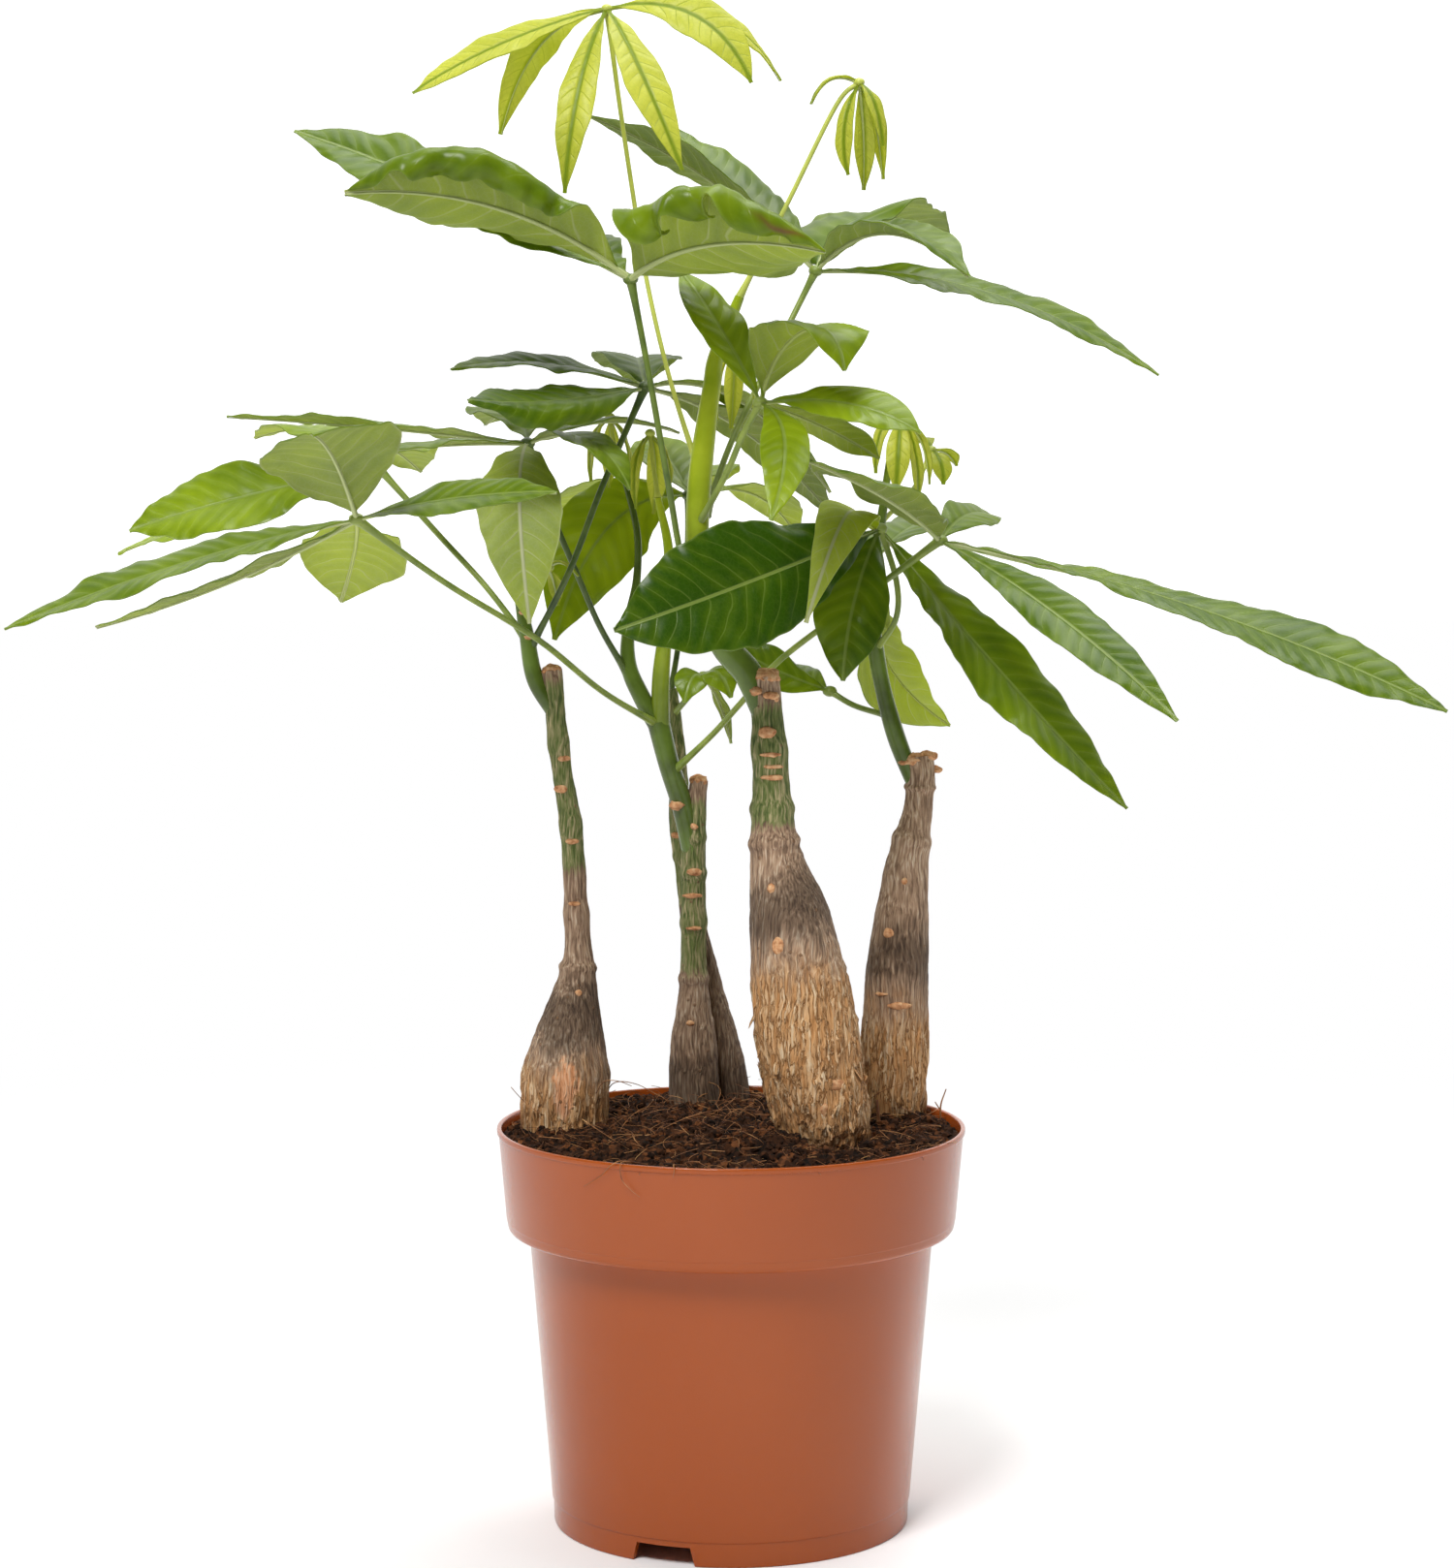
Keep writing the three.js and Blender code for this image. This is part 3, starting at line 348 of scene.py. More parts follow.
def leaflet_tree():
    """One leaflet, added to what comes in: a thin blade along a bent midrib, creased along it, curled and
    waved at its edges and quilted between its side veins, with the rib under it."""
    t, size = new_tree("leaflet", {
        "Hub": "Vector", "Pull A": "Vector", "Pull B": "Vector", "Tip": "Vector", "Length": "Float",
        "Width": "Float", "Roll": "Float", "Twist": "Float", "Peak": "Float", "Curl Left": "Float",
        "Curl Right": "Float", "Lip Left": "Float", "Lip Right": "Float", "Lip Start": "Float",
        "Wave": "Float", "Ruffle": "Float", "Tone": "Float", "Blemish": "Vector", "Vein Spacing": "Float",
        "Quilt": "Float", "Rows": "Int", "Columns": "Int", "Upper": "Material", "Underside": "Material",
        "Rib": "Material"})
    steps = add(t, "SUBTRACT", size["Rows"], 1.0)
    bent = add(t, "GeometryNodeCurvePrimitiveBezierSegment", steps, size["Hub"], size["Pull A"],
               size["Pull B"], size["Tip"], mode="POSITION")
    midrib = add(t, "GeometryNodeResampleCurve", bent, mode="EVALUATED")
    sheet = add(t, "GeometryNodeMeshGrid", 2.0, 1.0, size["Columns"], size["Rows"])
    flat = add(t, "ShaderNodeSeparateXYZ", add(t, "GeometryNodeInputPosition"))
    across = flat.outputs["X"]
    share = add(t, "ADD", flat.outputs["Y"], 0.5)

    # The place, direction and sideways vector of the midrib at this row.
    row = add(t, "ROUND", add(t, "MULTIPLY", share, steps))
    at, ahead, side = (
        add(t, "GeometryNodeSampleIndex", midrib, add(t, kind), row, data_type="FLOAT_VECTOR")
        for kind in ("GeometryNodeInputPosition", "GeometryNodeInputTangent", "GeometryNodeInputNormal"))
    above = add(t, VECTOR, side, ahead, operation="CROSS_PRODUCT")
    twisted = add(t, "MULTIPLY_ADD", size["Twist"], share, size["Roll"])
    turn = add(t, "MULTIPLY", twisted, -1.0)
    right = add(t, "ShaderNodeVectorRotate", side, None, ahead, turn)
    normal = add(t, "ShaderNodeVectorRotate", above, None, ahead, turn)

    # Half the width here, from the stub at the hub to the pointed tip.
    along = add(t, RANGE, share, 0.04, 1.0)
    swell = add(t, "MULTIPLY", add(t, "POWER", along, size["Peak"]), math.pi)
    swell = add(t, "MAXIMUM", add(t, "SINE", swell), 0.0)
    swell = add(t, "POWER", swell, 0.8)
    taper = add(t, "MULTIPLY_ADD", add(t, "POWER", along, 8.0), -0.35, 1.0)
    half = add(t, "MULTIPLY", add(t, "MULTIPLY", swell, taper), size["Width"])
    margin = add(t, "ABSOLUTE", across)
    sign = add(t, "SIGN", across)
    # Two uneven draws along each side, one for the outline and one for the frill, 12 to 16 mm long.
    reach = add(t, "MULTIPLY", share, size["Length"])
    walk = add(t, "MULTIPLY_ADD", sign, 17.3, size["Wave"])
    step = add(t, "MULTIPLY_ADD", reach, 65.0, walk)
    rough = add(t, NOISE, noise_dimensions="1D", sockets={"W": step, "Scale": 1.0, "Detail": 1.0})
    rough = add(t, "SUBTRACT", rough, 0.5)
    frill = add(t, NOISE, noise_dimensions="1D", sockets={
        "W": add(t, "ADD", step, 50.0), "Scale": 1.3, "Detail": 1.0})
    frill = add(t, "SUBTRACT", frill, 0.5)
    uneven = add(t, "MULTIPLY_ADD", rough, UNEVEN_OUTLINE, 1.0)
    half = add(t, "MULTIPLY", add(t, "MULTIPLY", half, uneven), 0.5)
    half = add(t, "MAXIMUM", half, 0.7 * MM)

    # The cross section: one gentle arc, then a tighter one in the rolled edge, which swells and shrinks.
    is_left = add(t, "LESS_THAN", across, 0.0)
    curl = add(t, MIX, is_left, size["Curl Right"], size["Curl Left"])
    lip = add(t, MIX, is_left, size["Lip Right"], size["Lip Left"])
    begins = add(t, RANGE, share, 0.12, 0.42, interpolation_type="SMOOTHSTEP")
    swollen = add(t, "MULTIPLY", add(t, "MULTIPLY_ADD", rough, 1.8, 1.0), begins)
    lip = add(t, "MULTIPLY", lip, swollen)
    start = size["Lip Start"]
    inner = add(t, "MINIMUM", margin, start)
    outer = add(t, "MAXIMUM", add(t, "SUBTRACT", margin, start), 0.0)
    lean = add(t, "MULTIPLY_ADD", add(t, "MULTIPLY", curl, inner), 0.5, CREASE)
    rest = add(t, "SUBTRACT", 1.0, start)
    rate = add(t, "ADD", add(t, "DIVIDE", lip, rest), curl)
    bend = add(t, "MULTIPLY_ADD", add(t, "MULTIPLY", rate, outer), 0.5, 0.0001)
    tilt = add(t, "ADD", add(t, "MULTIPLY_ADD", curl, start, CREASE), bend)
    # The chord of an arc is shorter than the arc.
    chord = add(t, "DIVIDE", add(t, "SINE", bend), bend)
    chord = add(t, "MULTIPLY", chord, outer)
    out = add(t, "MULTIPLY", inner, add(t, "COSINE", lean))
    out = add(t, "MULTIPLY_ADD", chord, add(t, "COSINE", tilt), out)
    out = add(t, "MULTIPLY", add(t, "MULTIPLY", out, half), sign)
    up = add(t, "MULTIPLY", inner, add(t, "SINE", lean))
    up = add(t, "MULTIPLY_ADD", chord, add(t, "SINE", tilt), up)
    up = add(t, "MULTIPLY", up, half)

    # Edges wave along the leaflet, the two sides a little out of step.
    hump = add(t, "SINE", add(t, "MULTIPLY", share, math.pi))
    beat = add(t, "MULTIPLY_ADD", share, 2 * math.pi * EDGE_WAVES, size["Wave"])
    beat = add(t, "SINE", add(t, "ADD", beat, sign))
    edge = add(t, "MULTIPLY", add(t, "POWER", margin, 2.0), hump)
    wave = add(t, "MULTIPLY", add(t, "MULTIPLY", beat, edge), WAVE_HEIGHT)
    up = add(t, "MULTIPLY_ADD", wave, size["Width"], up)
    outmost = add(t, "MULTIPLY", add(t, "POWER", margin, 3.0), frill)
    up = add(t, "MULTIPLY_ADD", outmost, size["Ruffle"], up)

    # The blade swells up between its side veins, which lean forward and curve to the tip.
    away = add(t, "MULTIPLY", margin, half)
    lead = add(t, "MULTIPLY_ADD", margin, SIDE_CURVE, SIDE_LEAN)
    behind = add(t, "SUBTRACT", reach, add(t, "MULTIPLY", away, lead))
    phase = add(t, "DIVIDE", behind, size["Vein Spacing"])
    phase = add(t, "MULTIPLY_ADD", rough, 0.9, phase)
    pillow = add(t, "COSINE", add(t, "MULTIPLY", phase, 2 * math.pi))
    pillow = add(t, "MULTIPLY_ADD", pillow, -0.5, 0.5)
    inside = add(t, RANGE, margin, 0.0, 0.25)
    nearly = add(t, RANGE, margin, 1.0, 0.75)
    room = add(t, "MULTIPLY", add(t, "MULTIPLY", inside, nearly), hump)
    pillow = add(t, "MULTIPLY", add(t, "MULTIPLY", pillow, room), size["Quilt"])
    up = add(t, "ADD", up, pillow)

    # What the skin needs to know: millimetres from the midrib and along it, vein count, edge and tone.
    from_rib = add(t, "MULTIPLY", add(t, "MULTIPLY", away, sign), 1 / MM)
    reach_mm = add(t, "MULTIPLY", reach, 1 / MM)
    blade = add(t, "ShaderNodeCombineXYZ", from_rib, phase, reach_mm)
    there = add(t, "ShaderNodeCombineXYZ", across, share)
    wound = add(t, VECTOR, there, size["Blemish"], operation="DISTANCE").outputs["Value"]
    wound = add(t, "ADD", wound, add(t, "MULTIPLY", rough, 0.06))
    wound = add(t, RANGE, wound, 0.1, 0.03, interpolation_type="SMOOTHSTEP")
    lobe = add(t, "ShaderNodeCombineXYZ", margin, size["Tone"], wound)
    sheet = add(t, STORE, sheet, None, "blade", blade, data_type="FLOAT_VECTOR")
    sheet = add(t, STORE, sheet, None, "lobe", lobe, data_type="FLOAT_VECTOR")
    sheet = add(t, STORE, sheet, None, "fresh", size["Tone"], data_type="FLOAT")
    from_middle = add(t, "ABSOLUTE", add(t, "SUBTRACT", share, 0.5))
    outline = add(t, "MAXIMUM", margin, add(t, "MULTIPLY", from_middle, 2.0))
    sheet = add(t, STORE, sheet, None, "outline", outline, data_type="FLOAT")

    sideways = add(t, VECTOR, right, sockets={"Scale": out}, operation="SCALE")
    upwards = add(t, VECTOR, normal, sockets={"Scale": up}, operation="SCALE")
    moved = add(t, VECTOR, add(t, VECTOR, at, sideways, operation="ADD"), upwards, operation="ADD")
    sheet = add(t, MOVE, sheet, None, moved)
    skin = add(t, "GeometryNodeInputNormal")
    sunk = add(t, VECTOR, skin, sockets={"Scale": -BLADE / 2}, operation="SCALE")
    sheet = add(t, MOVE, sheet, None, None, sunk)
    upper = add(t, "GeometryNodeExtrudeMesh", sheet, None, None, BLADE, False, mode="FACES")
    upper = add(t, PAINT, upper, None, size["Upper"])
    under = add(t, PAINT, add(t, "GeometryNodeFlipFaces", sheet), None, size["Underside"])
    on_outline = add(t, "GREATER_THAN", add(t, ATTRIBUTE, "outline").outputs[0], 0.999)
    slab = add(t, JOIN, [upper, under])
    slab = add(t, "GeometryNodeMergeByDistance", slab, on_outline, 0.0003 * MM)
    shallow = add(t, "LESS_THAN", add(t, "GeometryNodeInputMeshEdgeAngle"), 0.9)
    slab = add(t, "GeometryNodeSetShadeSmooth", slab, None, True, domain="FACE")
    slab = add(t, "GeometryNodeSetShadeSmooth", slab, None, shallow, domain="EDGE")

    # The rib hangs half out of the underside and thins towards the tip.
    factor = add(t, "GeometryNodeSplineParameter")
    thin = add(t, RANGE, factor, 0.0, 1.0, 1.0, 0.22)
    girth = add(t, "MULTIPLY_ADD", size["Width"], 0.008, 0.55 * MM)
    thin = add(t, "MULTIPLY", thin, girth)
    tangent = add(t, "GeometryNodeInputTangent")
    above_rib = add(t, VECTOR, add(t, "GeometryNodeInputNormal"), tangent, operation="CROSS_PRODUCT")
    rib_turn = add(t, "MULTIPLY", size["Roll"], -1.0)
    above_rib = add(t, "ShaderNodeVectorRotate", above_rib, None, tangent, rib_turn)
    drop = add(t, VECTOR, above_rib, sockets={"Scale": -RIB_DROP}, operation="SCALE")
    line = add(t, MOVE, midrib, None, None, drop)
    line = add(t, STORE, line, None, "fresh", size["Tone"], data_type="FLOAT")
    ring = add(t, "GeometryNodeCurvePrimitiveCircle", 6, sockets={"Radius": 1.0})
    rib = add(t, "GeometryNodeCurveToMesh", line, ring, thin, True)
    rib = add(t, PAINT, rib, None, size["Rib"])
    whole = add(t, JOIN, [size["Geometry"], slab, rib])
    add(t, "NodeGroupOutput", add(t, "GeometryNodeRealizeInstances", whole))
    return t


def stem_tree():
    """Tubes along the piece's own edges, with the radius at each point, lobes, cracks and flakes in the bark,
    and a flattened bump on each loose point that has a size."""
    t, size = new_tree("stem", {
        "Sides": "Int", "Lobes": "Float", "Crack Depth": "Float", "Flake Depth": "Float",
        "Bare Place": "Vector", "Bare Size": "Vector", "Plates": "Float", "Bump Roughness": "Float",
        "Skin": "Material", "Bump Skin": "Material"})
    radius, woody, over_ochre, share = (
        add(t, ATTRIBUTE, name).outputs[0] for name in ("radius", "woody", "over_ochre", "share"))
    lines = add(t, "GeometryNodeMeshToCurve", size["Geometry"])
    ring = add(t, "GeometryNodeCurvePrimitiveCircle", size["Sides"], sockets={"Radius": 1.0})
    ring = add(t, STORE, ring, None, "around", add(t, "GeometryNodeSplineParameter"), data_type="FLOAT")
    tubes = add(t, "GeometryNodeCurveToMesh", lines, ring, radius, True)

    # Swollen lobes that wind slowly round the trunk.
    angle = add(t, "MULTIPLY", add(t, ATTRIBUTE, "around").outputs[0], -2 * math.pi)
    lobes = 0.0
    for turns, climb, part in ((3, 9, 0.05), (5, -7, 0.03)):
        beat = add(t, "MULTIPLY_ADD", share, climb, add(t, "MULTIPLY", angle, turns))
        lobes = add(t, "MULTIPLY_ADD", add(t, "SINE", beat), part, lobes)
    lobes = add(t, "MULTIPLY", add(t, "MULTIPLY", lobes, radius), woody)
    lobes = add(t, "MULTIPLY", lobes, size["Lobes"])

    # Cracks about 2 mm apart, five times as long, and strips of 2 by 12 mm standing at uneven heights.
    place = add(t, "GeometryNodeInputPosition")
    drawn = add(t, VECTOR, place, (1, 1, 0.2), operation="MULTIPLY")
    crack = add(t, NOISE, sockets={"Vector": drawn, "Scale": 520.0, "Detail": 3.0})
    flat = add(t, VECTOR, place, (1, 1, 0.14), operation="MULTIPLY")
    flake = add(t, NOISE, sockets={"Vector": flat, "Scale": 540.0, "Detail": 4.0})
    height = add(t, RANGE, flake, 0.42, 0.6)
    flaky = add(t, RANGE, over_ochre, 4.0, -6.0)
    lifted = add(t, "MULTIPLY", add(t, "MULTIPLY", height, flaky), woody)
    rough = add(t, "SUBTRACT", crack, 0.5)
    push = add(t, "MULTIPLY", add(t, "MULTIPLY", rough, size["Crack Depth"]), woody)
    push = add(t, "MULTIPLY_ADD", lifted, size["Flake Depth"], push)
    # A ragged patch where a strip of bark has come off, and the skin is even.
    from_bare = add(t, VECTOR, place, size["Bare Place"], operation="SUBTRACT")
    from_bare = add(t, VECTOR, from_bare, size["Bare Size"], operation="DIVIDE")
    from_bare = add(t, VECTOR, from_bare, operation="LENGTH").outputs["Value"]
    from_bare = add(t, "MULTIPLY_ADD", add(t, "SUBTRACT", flake, 0.5), 1.6, from_bare)
    bare = add(t, RANGE, from_bare, 1.04, 0.96)
    push = add(t, "MULTIPLY", add(t, "SUBTRACT", 1.0, bare), push)
    push = add(t, "ADD", push, lobes)
    tubes = add(t, STORE, tubes, None, "bare", bare, data_type="FLOAT")
    tubes = add(t, STORE, tubes, None, "push", push, data_type="FLOAT")
    push = add(t, ATTRIBUTE, "push").outputs[0]
    out = add(t, VECTOR, add(t, "GeometryNodeInputNormal"), sockets={"Scale": push}, operation="SCALE")
    tubes = add(t, MOVE, tubes, None, None, out)
    # Loose plates of bark, 3 by 9 mm, stand off the lowest part with one end.
    low = add(t, RANGE, over_ochre, -14.0, -44.0)
    low = add(t, "MULTIPLY", add(t, "MULTIPLY", low, size["Plates"]), woody)
    spots = add(t, "GeometryNodeDistributePointsOnFaces", tubes, None, low)
    tilt = add(t, "FunctionNodeRandomValue", (-0.5, -0.35, -0.35), (0.6, 0.35, 0.35),
               data_type="FLOAT_VECTOR")
    tilt = add(t, "FunctionNodeEulerToRotation", tilt)
    tilt = add(t, "FunctionNodeRotateRotation", spots.outputs["Rotation"], tilt, rotation_space="LOCAL")
    small, large = Vector((0.6, 1.8, 0.2)) * MM, Vector((1.7, 4.8, 0.3)) * MM
    spread = add(t, "FunctionNodeRandomValue", small, large, data_type="FLOAT_VECTOR", sockets={"Seed": 4})
    plate = add(t, "GeometryNodeMeshIcoSphere", 1.0, 2)
    plates = add(t, "GeometryNodeInstanceOnPoints", spots, None, plate, sockets={
        "Rotation": tilt, "Scale": spread})
    plates = roughened(t, add(t, "GeometryNodeRealizeInstances", plates), 700.0, 2.0, 1.6 * MM)
    tubes = add(t, JOIN, [tubes, plates])
    tubes = add(t, PAINT, tubes, None, size["Skin"])

    bump_size, turned = (
        add(t, ATTRIBUTE, name, data_type="FLOAT_VECTOR").outputs[0] for name in ("bump", "turned"))
    turned = add(t, "FunctionNodeEulerToRotation", turned)
    has_bump = add(t, "GREATER_THAN", add(t, VECTOR, bump_size, operation="LENGTH").outputs["Value"], 1e-5)
    ball = add(t, "GeometryNodeMeshIcoSphere", 1.0, 3)
    bumps = add(t, "GeometryNodeInstanceOnPoints", size["Geometry"], has_bump, ball, sockets={
        "Rotation": turned, "Scale": bump_size})
    thick = add(t, "ShaderNodeSeparateXYZ", bump_size).outputs["Z"]
    depth = add(t, "MULTIPLY", thick, size["Bump Roughness"])
    bumps = roughened(t, add(t, "GeometryNodeRealizeInstances", bumps), 420.0, 3.0, depth)
    bumps = add(t, PAINT, bumps, None, size["Bump Skin"])
    whole = add(t, JOIN, [tubes, bumps])
    whole = add(t, "GeometryNodeRealizeInstances", whole)
    angle = add(t, "LESS_THAN", add(t, "GeometryNodeInputMeshEdgeAngle"), 1.2)
    whole = add(t, "GeometryNodeSetShadeSmooth", whole, None, True, domain="FACE")
    add(t, "NodeGroupOutput", add(t, "GeometryNodeSetShadeSmooth", whole, None, angle, domain="EDGE"))
    return t


def notch_tree():
    """Cuts drain notches out of the pot's foot, evenly round it."""
    t, size = new_tree("drain notches", {
        "Count": "Int", "Width": "Float", "Height": "Float", "Foot Radius": "Float", "Turn": "Vector"})
    ring = add(t, "GeometryNodeMeshCircle", size["Count"], size["Foot Radius"])
    # A four-sided block, wider at the floor than at its top.
    wide = add(t, "MULTIPLY", size["Width"], 0.83)
    narrow = add(t, "MULTIPLY", size["Width"], 0.62)
    tall = add(t, "MULTIPLY", size["Height"], 2.0)
    block = add(t, "GeometryNodeMeshCone", 4, 1, 1, narrow, wide, tall)
    block = add(t, "GeometryNodeTransform", block, sockets={"Rotation": (0, 0, math.pi / 4)})
    drop = add(t, "ShaderNodeCombineXYZ", 0.0, 0.0, add(t, "MULTIPLY", size["Height"], -1.0))
    block = add(t, "GeometryNodeTransform", block, drop)
    outwards = add(t, "GeometryNodeInputPosition")
    facing = add(t, "FunctionNodeAlignRotationToVector", None, None, outwards, axis="Y")
    blocks = add(t, "GeometryNodeInstanceOnPoints", ring, sockets={"Instance": block, "Rotation": facing})
    blocks = add(t, "GeometryNodeRealizeInstances", blocks)
    blocks = add(t, "GeometryNodeTransform", blocks, None, size["Turn"])
    cut = add(t, "GeometryNodeMeshBoolean", size["Geometry"], blocks, operation="DIFFERENCE",
              solver="MANIFOLD")
    add(t, "NodeGroupOutput", cut)
    return t


def soil_tree():
    """Roughens the compost's top and strews crumbs and fibres over it."""
    t, size = new_tree("peat crumbs and fibres", {
        "Crumbs": "Float", "Crumb Size": "Float", "Fibres": "Float", "Fibre Length": "Float", "Reach": "Float",
        "Seed": "Int", "Peat": "Material", "Coir": "Material"})
    place = add(t, "GeometryNodeInputPosition")
    level = add(t, VECTOR, place, (1, 1, 0), operation="MULTIPLY")
    away = add(t, VECTOR, level, operation="LENGTH").outputs["Value"]
    inside = add(t, "LESS_THAN", away, size["Reach"])
    facing = add(t, "ShaderNodeSeparateXYZ", add(t, "GeometryNodeInputNormal"))
    on_top = add(t, "GREATER_THAN", facing.outputs["Z"], 0.6)
    chosen = add(t, "MULTIPLY", inside, on_top)
    lump = add(t, NOISE, sockets={"Vector": place, "Scale": 105.0, "Detail": 7.0, "Roughness": 0.7})
    lift = add(t, "MULTIPLY", add(t, "SUBTRACT", lump, 0.5), 13.0 * MM)
    ground = add(t, MOVE, size["Geometry"], chosen, None, add(t, "ShaderNodeCombineXYZ", 0.0, 0.0, lift))
    ground = add(t, PAINT, ground, None, size["Peat"])

    points = add(t, "GeometryNodeDistributePointsOnFaces", ground, chosen, size["Crumbs"], sockets={
        "Seed": size["Seed"]})
    # Most crumbs are small: the cube of an even draw.
    draw = add(t, "FunctionNodeRandomValue", data_type="FLOAT", sockets={"Seed": 3})
    draw = add(t, "MULTIPLY_ADD", add(t, "POWER", draw.outputs[1], 3.0), 0.75, 0.25)
    grit = add(t, "MULTIPLY", draw, size["Crumb Size"])
    spin = add(t, "FunctionNodeRandomValue", (0, 0, 0), (6.283, 6.283, 6.283), data_type="FLOAT_VECTOR")
    crumb = add(t, "GeometryNodeMeshIcoSphere", 1.0, 1)
    crumbs = add(t, "GeometryNodeInstanceOnPoints", points, None, crumb, sockets={
        "Rotation": add(t, "FunctionNodeEulerToRotation", spin), "Scale": grit})
    crumbs = roughened(t, add(t, "GeometryNodeRealizeInstances", crumbs), 600.0, 2.0, 2.6 * MM)
    crumbs = add(t, PAINT, crumbs, None, size["Peat"])

    # Three bent fibres one unit long, strewn nearly flat: many short ones, and a few long thin ones.
    strewn = [ground, crumbs]
    bends = (((0.5, 0.25, 0.12), (1, 0.05, 0)), ((0.45, -0.45, 0.2), (0.85, 0.2, 0.05)),
             ((0.3, 0.5, 0.1), (0.6, -0.1, 0.22)))
    for number, (portion, reach, girth) in enumerate(((1.0, 0.4, 0.01), (0.16, 1.0, 0.0045))):
        shapes = []
        for middle, end in bends:
            arc = add(t, "GeometryNodeCurveQuadraticBezier", 9, (0, 0, 0), middle, end)
            ring = add(t, "GeometryNodeCurvePrimitiveCircle", 3, sockets={"Radius": girth})
            hair = add(t, "GeometryNodeCurveToMesh", arc, ring, sockets={"Fill Caps": True})
            shapes.append(add(t, "GeometryNodeGeometryToInstance", hair))
        kinds = add(t, JOIN, shapes)
        density = add(t, "MULTIPLY", size["Fibres"], portion)
        near = add(t, "LESS_THAN", away, add(t, "MULTIPLY", size["Reach"], 1.1 - 0.25 * reach))
        near = add(t, "MULTIPLY", chosen, near)
        spots = add(t, "GeometryNodeDistributePointsOnFaces", ground, near, density, sockets={
            "Seed": add(t, "ADD", size["Seed"], 1.0 + number)})
        lie = add(t, "FunctionNodeRandomValue", (-0.4, -0.4, 0), (0.4, 0.4, 6.283), data_type="FLOAT_VECTOR")
        span = add(t, "FunctionNodeRandomValue", data_type="FLOAT", sockets={2: 0.35, 3: 1.0, "Seed": 5})
        span = add(t, "MULTIPLY", span.outputs[1], reach)
        span = add(t, "MULTIPLY", span, size["Fibre Length"])
        fibres = add(t, "GeometryNodeInstanceOnPoints", spots, None, kinds, True, sockets={
            "Rotation": add(t, "FunctionNodeEulerToRotation", lie), "Scale": span})
        fibres = add(t, "GeometryNodeTranslateInstances", fibres, None, (0, 0, 0.6 * MM), False)
        fibres = add(t, "GeometryNodeRealizeInstances", fibres)
        strewn.append(add(t, PAINT, fibres, None, size["Coir"]))
    add(t, "NodeGroupOutput", add(t, JOIN, strewn))
    return t


# ---- the pot ------------------------------------------------------------

POT_HEIGHT = 145 * MM
RIM_RADIUS = 85 * MM
COLLAR_FOOT_RADIUS = 81.3 * MM
COLLAR_FOOT_Z = 107.6 * MM
WALL_TOP_RADIUS = 73.5 * MM
WALL_FOOT_RADIUS = 65.4 * MM
FOOT_RADIUS = 64.7 * MM
FOOT_STEP_Z = 9 * MM
FOOT_RECESS = 7 * MM
FOOT_RING = 2.5 * MM
WALL = 1.6 * MM
POT_SIDES = 160
NOTCHES = 3
NOTCH_WIDTH = 23 * MM
NOTCH_HEIGHT = 6.8 * MM
NOTCH_TURN = math.radians(-21.8)


def rounded(corners, steps=4):
    """A profile whose corners (radius, z, rounding) are turned into short curves."""
    line = []
    for k, (x, z, rounding) in enumerate(corners):
        here = Vector((x, z))
        if rounding == 0:
            line.append(here)
            continue
        before = Vector(corners[k - 1][:2]) - here
        after = Vector(corners[k + 1][:2]) - here
        start = here + before.normalized() * rounding
        end = here + after.normalized() * rounding
        for step in range(steps + 1):
            s = step / steps
            line.append(start * (1 - s) ** 2 + here * 2 * s * (1 - s) + end * s ** 2)
    return line


def turned_solid(name, profile, sides):
    """A closed solid turned about the Z axis from a profile that starts and ends on the axis."""
    inner = profile[1:-1]
    points = [(0, 0, profile[0][1])]
    for x, z in inner:
        points += [(x * math.cos(a), x * math.sin(a), z) for a in np.arange(sides) * 2 * math.pi / sides]
    points.append((0, 0, profile[-1][1]))
    faces = []
    last = len(points) - 1
    top = 1 + (len(inner) - 1) * sides
    for k in range(sides):
        n = (k + 1) % sides
        faces.append((0, 1 + n, 1 + k))
        faces.append((last, top + k, top + n))
        for row in range(len(inner) - 1):
            a = 1 + row * sides
            faces.append((a + k, a + n, a + sides + n, a + sides + k))
    return new_piece(name, points, (), faces)


